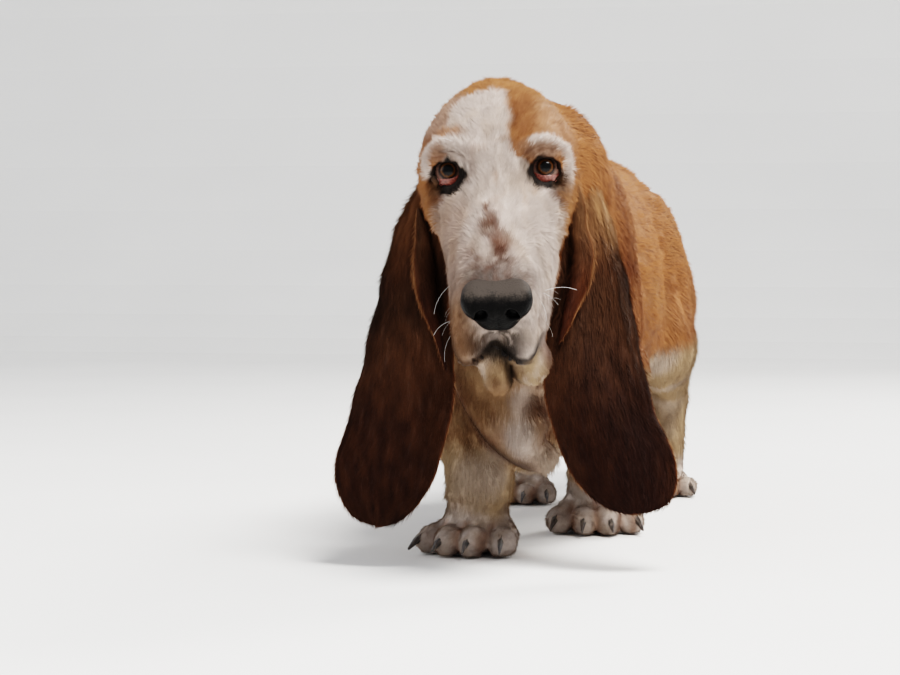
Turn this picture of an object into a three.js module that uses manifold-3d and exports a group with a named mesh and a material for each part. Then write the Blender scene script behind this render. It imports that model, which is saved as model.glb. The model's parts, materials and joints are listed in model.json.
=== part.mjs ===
// A life-size still model of a basset hound, walking with its head low and its ears hanging.
// Millimetres, +Z up. The hound faces -Y, and its own left side is at +X.
// The flesh is one smooth surface round named rounded forms, parted into its named parts by thin cuts.
// Ears are curled sheets, eyes are balls, and claws are small bent cones, each a part of its own.
import * as THREE from "three";
import { mergeVertices } from "three/addons/utils/BufferGeometryUtils.js";
import { triTable } from "three/addons/objects/MarchingCubes.js";
import Module from "manifold-3d";

const wasm = await Module();
wasm.setup();

// Driving dimensions
const WITHERS = 368; // floor to the top of the shoulders
const BACK = 352; // floor to the top of the loin
const CHEST_HALF = 104; // half the width of the ribs
const HIP_HALF = 98; // half the width across the haunches
const KEEL = 64; // floor to the lowest point of the breastbone
const EYE_MIDDLE = [23, -206, 320]; // the point between the eyes
const HEAD_PITCH = 43; // degrees that the muzzle points down
const HEAD_YAW = 8.5; // degrees that the head turns to the hound's left
const HEAD_ROLL = -2; // degrees that the head tips to the hound's right
const EYE_APART = 38; // half the distance between the eyes
const EYE_RADIUS = 12.5;
const FOREPAW_WIDTH = 86;
const HINDPAW_WIDTH = 72;
const EAR_THICKNESS = 5;
const GAP = 0.32; // between parts that touch

const LEFT = 1;
const RIGHT = -1;
const DEGREE = Math.PI / 180;

// Frames: where a group of forms has its own axes

function frame(at, pitch = 0, yaw = 0, roll = 0) {
  const turn = new THREE.Euler(pitch * DEGREE, roll * DEGREE, yaw * DEGREE, "ZYX");
  return new THREE.Matrix4()
    .makeRotationFromEuler(turn)
    .setPosition(...at);
}

const BODY = frame([0, 0, 0]);
const HEAD = frame(EYE_MIDDLE, HEAD_PITCH, HEAD_YAW, HEAD_ROLL); // -Y runs down the muzzle
const HANG = frame(EYE_MIDDLE, 0, HEAD_YAW, HEAD_ROLL); // turned with the head but upright

// Rounded forms: each gives the distance from a point to its skin, negative inside

// An egg with three radii, turned in its frame.
function ball(at, radii, blend, { turn = [0, 0, 0], within = BODY } = {}) {
  const place = within.clone().multiply(frame(at, turn[0], turn[2], turn[1]));
  const [rx, ry, rz] = radii;
  const least = Math.min(rx, ry, rz);
  const distance = (x, y, z) => {
    const near = Math.hypot(x / rx, y / ry, z / rz);
    const steep = Math.hypot(x / rx / rx, y / ry / ry, z / rz / rz);
    return steep < 1e-9 ? -least : (near * (near - 1)) / steep;
  };
  return form(place, distance, Math.max(rx, ry, rz), blend);
}

// A tapered round bar from one point to another. Wide stretches it sideways, along the frame's X.
function bar(from, to, r1, r2, blend, { wide = 1, within = BODY } = {}) {
  const a = new THREE.Vector3(...from);
  const b = new THREE.Vector3(...to);
  const along = b.clone().sub(a);
  const length = along.length();
  along.divideScalar(length);
  const side = new THREE.Vector3(1, 0, 0).addScaledVector(along, -along.x).normalize();
  const deep = new THREE.Vector3().crossVectors(along, side);
  const place = within
    .clone()
    .multiply(new THREE.Matrix4().makeBasis(side, deep, along).setPosition(a));
  const slope = (r1 - r2) / length;
  const across = Math.sqrt(1 - slope * slope);
  const least = Math.min(1, wide);
  const distance = (x, y, z) => {
    const out = Math.hypot(x / wide, y);
    const side = -slope * out + across * z;
    if (side < 0) return least * (Math.hypot(out, z) - r1);
    if (side > across * length) return least * (Math.hypot(out, z - length) - r2);
    return least * (out * across + z * slope - r1);
  };
  const reach = length + Math.max(r1, r2) * Math.max(1, wide);
  return form(place, distance, reach, blend);
}

function form(place, distance, reach, blend) {
  const centre = new THREE.Vector3().setFromMatrixPosition(place);
  return { into: place.clone().invert().elements, distance, reach, blend, centre };
}

const cut = (f) => ({ ...f, cut: true });

// A row of bars through points, as for a lid, a lip or a tail.
function chain(points, radius, blend, within = BODY) {
  const at = (i) => (typeof radius === "function" ? radius(i / (points.length - 1)) : radius);
  return points
    .slice(1)
    .map((point, i) => bar(points[i], point, at(i), at(i + 1), blend, { within }));
}

// The body, in forms

function torsoForms() {
  const both = (make) => [make(LEFT), make(RIGHT)];
  return [
    ball([0, 150, 222], [CHEST_HALF, 200, 118], 30),
    ball([4, -22, 208], [70, 72, 84], 40), // the front of the chest
    ball([4, 36, KEEL + 56], [46, 128, 56], 34), // the breastbone's keel
    ball([0, 20, WITHERS - 60], [46, 100, 60], 40), // withers
    ball([0, 300, BACK - 92], [76, 170, 92], 50), // loin
    ball([0, 260, 184], [84, 150, 62], 40), // belly
    ball([0, 430, BACK - 88], [68, 98, 86], 40), // croup
    ...both((s) => ball([s * 64, 8, 250], [34, 60, 86], 30, { turn: [-22, -s * 10, 0] })), // blade
    ...both((s) => ball([s * 72, -8, 196], [36, 54, 56], 26, { turn: [25, 0, 0] })), // arm
    ...both((s) => ball([s * 58, 424, 216], [HIP_HALF - 58, 84, 90], 34)), // haunch
    ...both((s) => ball([s * 34, 494, 250], [34, 36, 56], 24)), // buttock
    ...both((s) => ball([s * 60, 334, 176], [22, 62, 30], 26, { turn: [20, 0, 0] })), // flank fold
  ];
}

function neckForms() {
  return [
    bar([14, -20, 282], [34, -112, 320], 80, 62, 36),
    bar([6, -70, 214], [24, -152, 258], 56, 40, 30),
    ball([40, -128, 208], [15, 44, 44], 22, { turn: [20, 0, 8] }), // dewlap, left fold
    ball([6, -124, 204], [15, 44, 46], 22, { turn: [20, 0, 4] }), // dewlap, right fold
  ];
}

const TAIL_LINE = [
  [0, 490, 304],
  [0, 534, 296],
  [1, 566, 262],
  [3, 584, 212],
  [6, 598, 160],
  [9, 616, 118],
  [12, 642, 92],
];

function tailForms() {
  return chain(TAIL_LINE, (share) => 5 + 20 * (1 - share) ** 0.8, 8);
}

// The head is laid out in its own frame: X sideways, -Y down the muzzle, Z out of the forehead.
function headForms() {
  const head = (at, radii, blend, turn) => ball(at, radii, blend, { turn, within: HEAD });
  const hang = (at, radii, blend, turn) => ball(at, radii, blend, { turn, within: HANG });
  const both = (make) => [make(LEFT), make(RIGHT)];
  return [
    head([0, 33, -7], [56, 64, 44], 20), // skull
    head([0, 76, 2], [18, 18, 13], 20), // peak of the skull
    head([0, 28, -42], [50, 52, 40], 30), // jaw muscles and throat
    ...both((s) => head([s * 40, 22, -34], [20, 42, 36], 20)), // cheek
    ...both((s) => hang([s * 30, 12, -56], [17, 34, 46], 18, [0, s * 4, 0])), // skin of the cheek
    ...both((s) => head([s * 34, 4, 12], [23, 18, 13], 12, [0, s * 20, 0])), // brow
    bar([0, -4, -16], [0, -104, -24], 26, 21, 16, { within: HEAD, wide: 1.05 }), // bridge
    bar([0, -16, -36], [0, -104, -40], 34, 25, 20, { within: HEAD }), // upper jaw
    bar([0, -10, -70], [0, -84, -76], 28, 17, 12, { within: HEAD, wide: 1.1 }), // lower jaw
    ...both((s) => hang([s * 17, -38, -110], [13, 32, 39], 10, [0, 0, s * 18])), // flew
    ...both((s) => hang([s * 24, 2, -102], [13, 36, 44], 14, [0, 0, s * 6])), // back of the flew
    hang([2, -26, -142], [15, 18, 20], 8), // chin
    ...both(lids).flat(),
    ...both(lipLine).flat().map(cut),
    cut(bar([0, -82, -112], [0, -72, -128], 2.2, 3, 2, { within: HANG })), // groove under the nose
    ...both((s) => cut(head([s * 58, 44, -48], [7, 9, 9], 4))), // the mouth of the ear
  ];
}

// A socket, then the lids round it: the upper one level, the lower one drooping.
function lids(side) {
  const eye = side * EYE_APART;
  const rim = (drop) =>
    [0, 1, 2, 3, 4, 5, 6, 7, 8].map((i) => {
      const a = (i / 8) * Math.PI;
      const x = Math.cos(a) * 13.5;
      const z = Math.sin(a) * drop;
      return [eye + x, -Math.sqrt(Math.max(9, 15.2 ** 2 - x * x - z * z)), z];
    });
  return [
    cut(ball([eye, -13, -2.5], [11, 14, 11], 5, { within: HANG })),
    ...chain(rim(8), 2.8, 3, HANG),
    ...chain(rim(-14), 2.8, 3, HANG),
  ];
}

// The lips part under the nose and run back round the flews to the corner of the mouth.
function lipLine(side) {
  const line = [
    [0, -74, -124],
    [side * 7, -70, -136],
    [side * 17, -58, -147],
    [side * 27, -32, -149],
    [side * 35, 0, -140],
    [side * 40, 22, -120],
  ];
  return chain(line, 2.6, 2, HANG);
}

// The nose leather, with a nostril open at each side.
function noseForms() {
  const within = HANG.clone().multiply(frame([0, -78, -98]));
  const both = (make) => [make(LEFT), make(RIGHT)];
  return [
    ball([0, 4, 6], [26, 17, 16], 6, { within }),
    ball([0, 4, -6], [17, 16, 18], 6, { within }),
    ...both((s) => ball([s * 14, 2, 2], [13, 16, 13], 6, { within })),
    ...both((s) => cut(ball([s * 11, -13, -1], [4.5, 8, 5], 2, { within }))),
    ...both((s) => cut(bar([s * 13, -12, -3], [s * 24, -2, -6], 3, 2, 2, { within }))),
    cut(bar([0, -15, 4], [0, -13, -20], 1.6, 1.6, 1.5, { within })),
  ];
}

// Each leg hangs from its upper joint to the wrist or hock, and ends in its paw.
function forelegForms({ side, elbow, wrist, paw }) {
  const roll = (share) => new THREE.Vector3(...wrist).lerp(new THREE.Vector3(...paw), share);
  const above = new THREE.Vector3(...wrist).lerp(new THREE.Vector3(...elbow), 0.3);
  return [
    ball(elbow, [30, 38, 40], 16),
    bar(elbow, wrist, 33, 25, 14),
    ball(wrist, [27, 27, 22], 12),
    bar(wrist, [paw[0], paw[1] + 14, 34], 25, 30, 12),
    ball([above.x, above.y, above.z], [29, 29, 7], 7, { turn: [8, side * 10, 0] }),
    ball(roll(0.25).toArray(), [29.5, 29.5, 7], 6, { turn: [-6, 0, 0] }),
  ];
}

function hindlegForms({ side, stifle, hock, paw }) {
  const thigh = [side * 64, stifle[1] + 50, 205];
  return [
    bar(thigh, stifle, 48, 33, 24, { wide: 0.8 }),
    bar(stifle, [hock[0], hock[1] - 10, hock[2] + 6], 34, 20, 20),
    ball([hock[0], hock[1] + 2, hock[2] + 4], [15, 18, 21], 12), // point of the hock
    bar([hock[0], hock[1] - 6, hock[2] - 8], [paw[0], paw[1] + 18, 30], 20, 22, 12),
  ];
}

// Four toes spread from the middle of the paw, the middle two foremost.
function pawForms({ paw, width, yaw }) {
  const within = frame([paw[0], paw[1], 0], 0, yaw);
  const size = width / 86;
  const sized = (point) => point.map((v) => v * size);
  const toes = toeLayout(width).flatMap(({ x, tip, fan }) => {
    const root = [x * 0.7, 6, 28 * size];
    const knuckle = [x, tip + 18 * size, 27 * size];
    const end = [x + fan, tip + 3, 13 * size];
    return [
      bar(root, knuckle, 15 * size, 13 * size, 5, { within }),
      bar([x, tip + 16 * size, 25 * size], end, 13 * size, 11 * size, 3, { within }),
      ball([x, tip + 9, 8 * size], sized([9, 13, 11]), 3, { within }),
    ];
  });
  return [
    ball([0, 12, 24 * size], sized([34, 32, 22]), 8, { within }),
    ball([0, 18, 10 * size], sized([25, 19, 14]), 6, { within }), // heel pad
    ...toes,
  ];
}

function toeLayout(width) {
  const step = width / 4;
  return [-1.5, -0.5, 0.5, 1.5].map((place) => ({
    x: place * step,
    tip: (Math.abs(place) < 1 ? -44 : -30) * (width / 86),
    fan: place * 2,
  }));
}

const LEGS = [
  {
    name: "foreleg_right",
    side: RIGHT,
    elbow: [-68, 2, 152],
    wrist: [-24, -34, 66],
    paw: [-28, -44, 0],
    width: FOREPAW_WIDTH,
    yaw: -12,
  },
  {
    name: "foreleg_left",
    side: LEFT,
    elbow: [76, 46, 150],
    wrist: [54, 118, 74],
    paw: [48, 134, 0],
    width: FOREPAW_WIDTH,
    yaw: 12,
  },
  {
    name: "hindleg_right",
    side: RIGHT,
    stifle: [-74, 330, 158],
    hock: [-64, 420, 98],
    paw: [-62, 378, 0],
    width: HINDPAW_WIDTH,
    yaw: -6,
  },
  {
    name: "hindleg_left",
    side: LEFT,
    stifle: [78, 386, 160],
    hock: [70, 512, 104],
    paw: [66, 478, 0],
    width: HINDPAW_WIDTH,
    yaw: 6,
  },
];

const GROUPS = {
  torso: { forms: torsoForms(), blend: 0 },
  neck: { forms: neckForms(), blend: 40 },
  head: { forms: headForms(), blend: 20 },
  tail: { forms: tailForms(), blend: 18 },
};
for (const leg of LEGS) {
  const forms = leg.elbow ? forelegForms(leg) : hindlegForms(leg);
  GROUPS[leg.name] = { forms: [...forms, ...pawForms(leg)], blend: leg.elbow ? 18 : 24 };
}

// Smooth surfaces

// Joins two distances with a fillet of about the blend's size.
function soften(a, b, blend) {
  const near = Math.max(blend - Math.abs(a - b), 0);
  return Math.min(a, b) - (near * near) / (4 * blend + 1e-9);
}

// A regular grid of points round a box, each holding a distance.
class Field {
  constructor(box, cell) {
    this.cell = cell;
    this.low = box.min;
    const size = box.getSize(new THREE.Vector3());
    this.n = [size.x, size.y, size.z].map((s) => Math.ceil(s / cell) + 1);
    this.values = new Float32Array(this.n[0] * this.n[1] * this.n[2]).fill(1e3);
  }

  // Joins forms to the field, each only where it reaches.
  add(forms) {
    for (const f of forms) {
      const reach = f.reach + f.blend + 3 * this.cell;
      const e = f.into;
      this.visit(f.centre, reach, (at, x, y, z) => {
        const distance = f.distance(
          e[0] * x + e[4] * y + e[8] * z + e[12],
          e[1] * x + e[5] * y + e[9] * z + e[13],
          e[2] * x + e[6] * y + e[10] * z + e[14],
        );
        this.values[at] = f.cut
          ? -soften(-this.values[at], distance, f.blend)
          : soften(this.values[at], distance, f.blend);
      });
    }
    return this;
  }

  // Joins another field of the same grid.
  join(other, blend) {
    for (let i = 0; i < this.values.length; i++) {
      if (other.values[i] < 900) this.values[i] = soften(this.values[i], other.values[i], blend);
    }
    return this;
  }

  visit(centre, reach, change) {
    const { cell, low, n } = this;
    const c = [centre.x - low.x, centre.y - low.y, centre.z - low.z];
    const from = c.map((v) => Math.max(0, Math.floor((v - reach) / cell)));
    const to = c.map((v, i) => Math.min(n[i] - 1, Math.ceil((v + reach) / cell)));
    for (let k = from[2]; k <= to[2]; k++)
      for (let j = from[1]; j <= to[1]; j++) {
        const row = (k * n[1] + j) * n[0];
        for (let i = from[0]; i <= to[0]; i++)
          change(row + i, low.x + i * cell, low.y + j * cell, low.z + k * cell);
      }
  }

  // The surface where the distance is zero, by marching cubes, as corner points and triangles.
  surface() {
    const { n, cell, low, values } = this;
    const corner = [0, 1, 1 + n[0], n[0]].flatMap((v) => [v]);
    const layer = n[0] * n[1];
    const corners = [...corner, ...corner.map((v) => v + layer)];
    const ends = [
      [0, 1], [1, 2], [3, 2], [0, 3], [4, 5], [5, 6], [7, 6], [4, 7], [0, 4], [1, 5], [2, 6], [3, 7],
    ];
    const axis = [0, 1, 0, 1, 0, 1, 0, 1, 2, 2, 2, 2];
    const step = [1, n[0], layer];
    const points = [];
    const triangles = [];
    const made = new Map();
    const pointOn = (cube, edge) => {
      const a = cube + corners[ends[edge][0]];
      const way = axis[edge];
      const key = a * 3 + way;
      if (made.has(key)) return made.get(key);
      const share = values[a] / (values[a] - values[a + step[way]]);
      const at = [a % n[0], Math.floor(a / n[0]) % n[1], Math.floor(a / layer)];
      at[way] += Math.min(0.98, Math.max(0.02, share));
      points.push(low.x + at[0] * cell, low.y + at[1] * cell, low.z + at[2] * cell);
      made.set(key, points.length / 3 - 1);
      return points.length / 3 - 1;
    };
    for (let k = 0; k < n[2] - 1; k++)
      for (let j = 0; j < n[1] - 1; j++)
        for (let i = 0; i < n[0] - 1; i++) {
          const cube = (k * n[1] + j) * n[0] + i;
          let inside = 0;
          for (let c = 0; c < 8; c++) if (values[cube + corners[c]] >= 0) inside |= 1 << c;
          if (inside === 0 || inside === 255) continue;
          for (let t = inside * 16; triTable[t] !== -1; t++) {
            triangles.push(pointOn(cube, triTable[t]));
          }
        }
    return { points, triangles };
  }
}

// Closes the field at the sides of its box, so that its surface is a closed one.
function closeSides(field) {
  const { n, values } = field;
  for (let k = 0; k < n[2]; k++)
    for (let j = 0; j < n[1]; j++)
      for (let i = 0; i < n[0]; i++) {
        const side = i === 0 || j === 0 || k === 0 || i === n[0] - 1 || j === n[1] - 1 || k === n[2] - 1;
        const at = (k * n[1] + j) * n[0] + i;
        if (side) values[at] = Math.max(values[at], field.cell);
      }
}

// Removes triangles where the surface is flattest, by the sum of squared distances to its planes.
class Simplifier {
  constructor({ points, triangles }) {
    this.p = Float64Array.from(points);
    this.t = triangles.slice();
    this.q = new Float64Array((points.length / 3) * 10);
    for (let i = 0; i < this.t.length; i += 3) this.addPlane(i);
  }

  normal(a, b, c) {
    const p = this.p;
    const [ux, uy, uz] = [p[b * 3] - p[a * 3], p[b * 3 + 1] - p[a * 3 + 1], p[b * 3 + 2] - p[a * 3 + 2]];
    const [vx, vy, vz] = [p[c * 3] - p[a * 3], p[c * 3 + 1] - p[a * 3 + 1], p[c * 3 + 2] - p[a * 3 + 2]];
    return [uy * vz - uz * vy, uz * vx - ux * vz, ux * vy - uy * vx];
  }

  addPlane(i) {
    const [a, b, c] = this.t.slice(i, i + 3);
    const n = this.normal(a, b, c);
    const size = Math.hypot(...n) + 1e-12;
    const [x, y, z] = n.map((v) => v / size);
    const w = -(x * this.p[a * 3] + y * this.p[a * 3 + 1] + z * this.p[a * 3 + 2]);
    const plane = [x * x, x * y, x * z, x * w, y * y, y * z, y * w, z * z, z * w, w * w];
    for (const v of [a, b, c]) plane.forEach((value, k) => (this.q[v * 10 + k] += (value * size) / 2));
  }

  // How far a merged point lies from the planes of both of an edge's ends.
  cost(u, v, x, y, z) {
    const q = this.q;
    const s = (k) => q[u * 10 + k] + q[v * 10 + k];
    return (
      s(0) * x * x + 2 * s(1) * x * y + 2 * s(2) * x * z + 2 * s(3) * x + s(4) * y * y +
      2 * s(5) * y * z + 2 * s(6) * y + s(7) * z * z + 2 * s(8) * z + s(9)
    );
  }

  best(u, v) {
    const p = this.p;
    let found = null;
    const weigh = (x, y, z) => {
      const cost = this.cost(u, v, x, y, z);
      if (!found || cost < found.cost) found = { cost, x, y, z };
    };
    const q = (k) => this.q[u * 10 + k] + this.q[v * 10 + k];
    const m = new THREE.Matrix3().set(q(0), q(1), q(2), q(1), q(4), q(5), q(2), q(5), q(7));
    const scale = q(0) + q(4) + q(7);
    const mid = [0, 1, 2].map((k) => (p[u * 3 + k] + p[v * 3 + k]) / 2);
    if (Math.abs(m.determinant()) > 1e-4 * scale ** 3) {
      const o = new THREE.Vector3(-q(3), -q(6), -q(8)).applyMatrix3(m.invert());
      const length = Math.hypot(...[0, 1, 2].map((k) => p[u * 3 + k] - p[v * 3 + k]));
      if (Math.hypot(o.x - mid[0], o.y - mid[1], o.z - mid[2]) < length) weigh(o.x, o.y, o.z);
    }
    weigh(...mid);
    weigh(p[u * 3], p[u * 3 + 1], p[u * 3 + 2]);
    weigh(p[v * 3], p[v * 3 + 1], p[v * 3 + 2]);
    const length2 = [0, 1, 2].reduce((sum, k) => sum + (p[u * 3 + k] - p[v * 3 + k]) ** 2, 0);
    found.cost += length2 * length2 * 2e-5;
    return found;
  }

  // The triangles round each corner, as one list and where each corner's part of it starts.
  rings() {
    const count = this.p.length / 3;
    const start = new Int32Array(count + 1);
    for (const v of this.t) start[v + 1]++;
    for (let i = 0; i < count; i++) start[i + 1] += start[i];
    const fill = start.slice();
    const list = new Int32Array(this.t.length);
    this.t.forEach((v, i) => (list[fill[v]++] = Math.floor(i / 3) * 3));
    return { start, list };
  }

  // True if no triangle round the corner turns over when the corner moves.
  keepsFacing(ring, u, v, at) {
    const p = this.p;
    for (const i of ring) {
      const tri = [this.t[i], this.t[i + 1], this.t[i + 2]];
      if (tri.includes(v)) continue;
      const before = this.normal(...tri);
      const old = [p[u * 3], p[u * 3 + 1], p[u * 3 + 2]];
      [p[u * 3], p[u * 3 + 1], p[u * 3 + 2]] = [at.x, at.y, at.z];
      const after = this.normal(...tri);
      [p[u * 3], p[u * 3 + 1], p[u * 3 + 2]] = old;
      const dot = before[0] * after[0] + before[1] * after[1] + before[2] * after[2];
      if (dot < 0.3 * Math.hypot(...before) * Math.hypot(...after)) return false;
    }
    return true;
  }

  neighbours(ring, u) {
    const found = new Set();
    for (const i of ring) for (let k = 0; k < 3; k++) found.add(this.t[i + k]);
    found.delete(u);
    return found;
  }

  run(target) {
    while (this.t.length / 3 > target) {
      const { start, list } = this.rings();
      const ringOf = (v) => list.subarray(start[v], start[v + 1]);
      const edges = [];
      for (let i = 0; i < this.t.length; i += 3)
        for (let k = 0; k < 3; k++) {
          const [u, v] = [this.t[i + k], this.t[i + ((k + 1) % 3)]];
          if (u < v) edges.push({ u, v, at: this.best(u, v) });
        }
      edges.sort((a, b) => a.at.cost - b.at.cost);
      const touched = new Uint8Array(this.p.length / 3);
      let spare = this.t.length / 3 - target;
      let merged = 0;
      for (const { u, v, at } of edges.slice(0, Math.ceil(edges.length * 0.3))) {
        if (spare <= 0) break;
        if (touched[u] || touched[v]) continue;
        const around = [this.neighbours(ringOf(u), u), this.neighbours(ringOf(v), v)];
        const shared = [...around[0]].filter((w) => around[1].has(w));
        if (shared.length !== 2) continue;
        if (!this.keepsFacing(ringOf(u), u, v, at) || !this.keepsFacing(ringOf(v), v, u, at)) continue;
        for (const near of around) for (const w of near) touched[w] = 1;
        [this.p[u * 3], this.p[u * 3 + 1], this.p[u * 3 + 2]] = [at.x, at.y, at.z];
        for (let k = 0; k < 10; k++) this.q[u * 10 + k] += this.q[v * 10 + k];
        for (const i of ringOf(v)) for (let k = 0; k < 3; k++) if (this.t[i + k] === v) this.t[i + k] = u;
        spare -= 2;
        merged++;
      }
      const kept = [];
      for (let i = 0; i < this.t.length; i += 3) {
        const [a, b, c] = [this.t[i], this.t[i + 1], this.t[i + 2]];
        if (a !== b && b !== c && a !== c) kept.push(a, b, c);
      }
      this.t = kept;
      if (!merged) break;
    }
    return { points: this.p, triangles: this.t };
  }
}

// Solids

function solidFrom(points, triangles) {
  const geometry = new THREE.BufferGeometry()
    .setAttribute("position", new THREE.BufferAttribute(Float32Array.from(points), 3))
    .setIndex(new THREE.BufferAttribute(Uint32Array.from(triangles), 1));
  return solidOf(geometry);
}

function solidOf(geometry) {
  const bare = geometry.clone();
  bare.deleteAttribute("normal");
  bare.deleteAttribute("uv");
  const merged = mergeVertices(bare, 1e-4);
  return new wasm.Manifold(
    new wasm.Mesh({
      numProp: 3,
      vertProperties: merged.attributes.position.array,
      triVerts: new Uint32Array(merged.index.array),
    }),
  );
}

function geometryOf(solid) {
  const mesh = solid.getMesh();
  return new THREE.BufferGeometry()
    .setAttribute("position", new THREE.BufferAttribute(mesh.vertProperties, 3))
    .setIndex(new THREE.BufferAttribute(mesh.triVerts, 1));
}

// The largest closed piece of a solid.
function largest(solid) {
  const pieces = solid.decompose();
  return pieces.reduce((best, piece) => (piece.volume() > best.volume() ? piece : best));
}

// A solid with its skin moved outwards, to cut its neighbour by.
function grown(solid, by) {
  const geometry = geometryOf(solid);
  geometry.computeVertexNormals();
  const { position, normal } = geometry.attributes;
  for (let i = 0; i < position.count; i++) {
    position.setXYZ(
      i,
      position.getX(i) + normal.getX(i) * by,
      position.getY(i) + normal.getY(i) * by,
      position.getZ(i) + normal.getZ(i) * by,
    );
  }
  return solidOf(geometry);
}

const BLOCK = 2000;

// The half of space behind a plane, as a large block: all that lies against the plane's direction.
function behind(point, direction, gap = 0) {
  const towards = new THREE.Vector3(...direction).normalize();
  const turn = new THREE.Quaternion().setFromUnitVectors(new THREE.Vector3(0, 0, 1), towards);
  const centre = new THREE.Vector3(...point).addScaledVector(towards, -BLOCK / 2 + gap);
  return solidOf(new THREE.BoxGeometry(BLOCK, BLOCK, BLOCK).applyQuaternion(turn).translate(...centre));
}


// Where the body is parted

const PASTERN = 46; // floor to the cut between a leg and its paw
const AROUND = {
  head: [[-110, -360, 130], [150, -70, 420]],
  body: [[-150, -240, PASTERN - 14], [150, 670, 420]],
};
const NECK_TO_HEAD = place(HEAD, [0, 98, 0], [0, 0.75, -0.66]);
const NECK_TO_TORSO = place(BODY, [0, -62, 270], [0, 0.94, -0.34]);
const FLOOR_TO_LEGS = place(BODY, [0, 0, PASTERN], [0, 0, 1]);
const FLOOR = place(BODY, [0, 0, GAP / 2], [0, 0, 1]);

function place(within, at, towards) {
  const point = new THREE.Vector3(...at).applyMatrix4(within);
  const direction = new THREE.Vector3(...towards).transformDirection(within);
  return { at: point.toArray(), towards: direction.toArray() };
}

// All that lies on the side of a plane that it points to.
const beyond = ({ at, towards }) => behind(at, towards.map((v) => -v), -GAP / 2);
const before = ({ at, towards }) => behind(at, towards, -GAP / 2);

function boxOf([low, high]) {
  return new THREE.Box3(new THREE.Vector3(...low), new THREE.Vector3(...high));
}

// The whole body's field in a box.
function fleshIn(box, cell) {
  const whole = new Field(box, cell);
  for (const { forms, blend } of Object.values(GROUPS)) {
    whole.join(new Field(box, cell).add(forms), blend);
  }
  return whole;
}

function solidOfField(field, triangles) {
  closeSides(field);
  const made = new Simplifier(field.surface()).run(triangles);
  return largest(solidFrom(made.points, made.triangles));
}

// Ears: sheets that hang from low on the skull, curled like a scroll at the top and flat at the tip.
// Each row is the middle of the flap at one height, from the root down to the tip. Facing is the way
// its front looks, in degrees from straight ahead towards the hound's left, and curl is the whole
// bend across it.
const EARS = {
  ear_right: [
    { at: [-26, -138, 336], wide: 50, facing: -66, curl: 180 },
    { at: [-44, -148, 306], wide: 80, facing: -56, curl: 180 },
    { at: [-58, -156, 270], wide: 82, facing: -42, curl: 150 },
    { at: [-60, -166, 224], wide: 76, facing: -24, curl: 110 },
    { at: [-59, -170, 178], wide: 84, facing: -12, curl: 84 },
    { at: [-64, -170, 130], wide: 90, facing: -4, curl: 60 },
    { at: [-76, -166, 84], wide: 88, facing: 4, curl: 40 },
    { at: [-84, -160, 36], wide: 74, facing: 8, curl: 20 },
  ],
  ear_left: [
    { at: [62, -128, 346], wide: 50, facing: 68, curl: 180 },
    { at: [79, -134, 314], wide: 82, facing: 60, curl: 180 },
    { at: [89, -134, 268], wide: 84, facing: 50, curl: 150 },
    { at: [93, -146, 226], wide: 82, facing: 38, curl: 110 },
    { at: [93, -154, 184], wide: 86, facing: 28, curl: 84 },
    { at: [98, -160, 138], wide: 90, facing: 18, curl: 60 },
    { at: [111, -160, 94], wide: 88, facing: 12, curl: 40 },
    { at: [124, -156, 50], wide: 78, facing: 10, curl: 20 },
  ],
};

// Eases a size from row to row.
const eased = (values, share) => {
  const at = share * (values.length - 1);
  const i = Math.min(values.length - 2, Math.floor(at));
  return THREE.MathUtils.lerp(values[i], values[i + 1], THREE.MathUtils.smoothstep(at - i, 0, 1));
};

// The tip is round: the width closes over the last part of the length.
function closing(v, start = 0.8) {
  const over = Math.max(0, (v - start) / (1 - start));
  return 0.06 + 0.94 * (1 - over ** 2.6) ** (1 / 2.2);
}

function earPoint(rows, curve, u, v) {
  const size = (key) => eased(rows.map((row) => row[key]), v);
  const bend = Math.max(1, size("curl")) * DEGREE;
  const facing = size("facing") * DEGREE;
  const radius = (size("wide") * closing(v)) / bend;
  const turn = (u - 0.5) * bend;
  const middle = (1 - Math.sin(bend / 2) / (bend / 2)) * 0.5;
  const back = (1 - Math.cos(turn) - middle) * radius;
  const side = new THREE.Vector3(Math.cos(facing), Math.sin(facing), 0);
  const front = new THREE.Vector3(Math.sin(facing), -Math.cos(facing), 0);
  return curve
    .getPoint(v)
    .addScaledVector(side, Math.sin(turn) * radius)
    .addScaledVector(front, -back);
}

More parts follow.
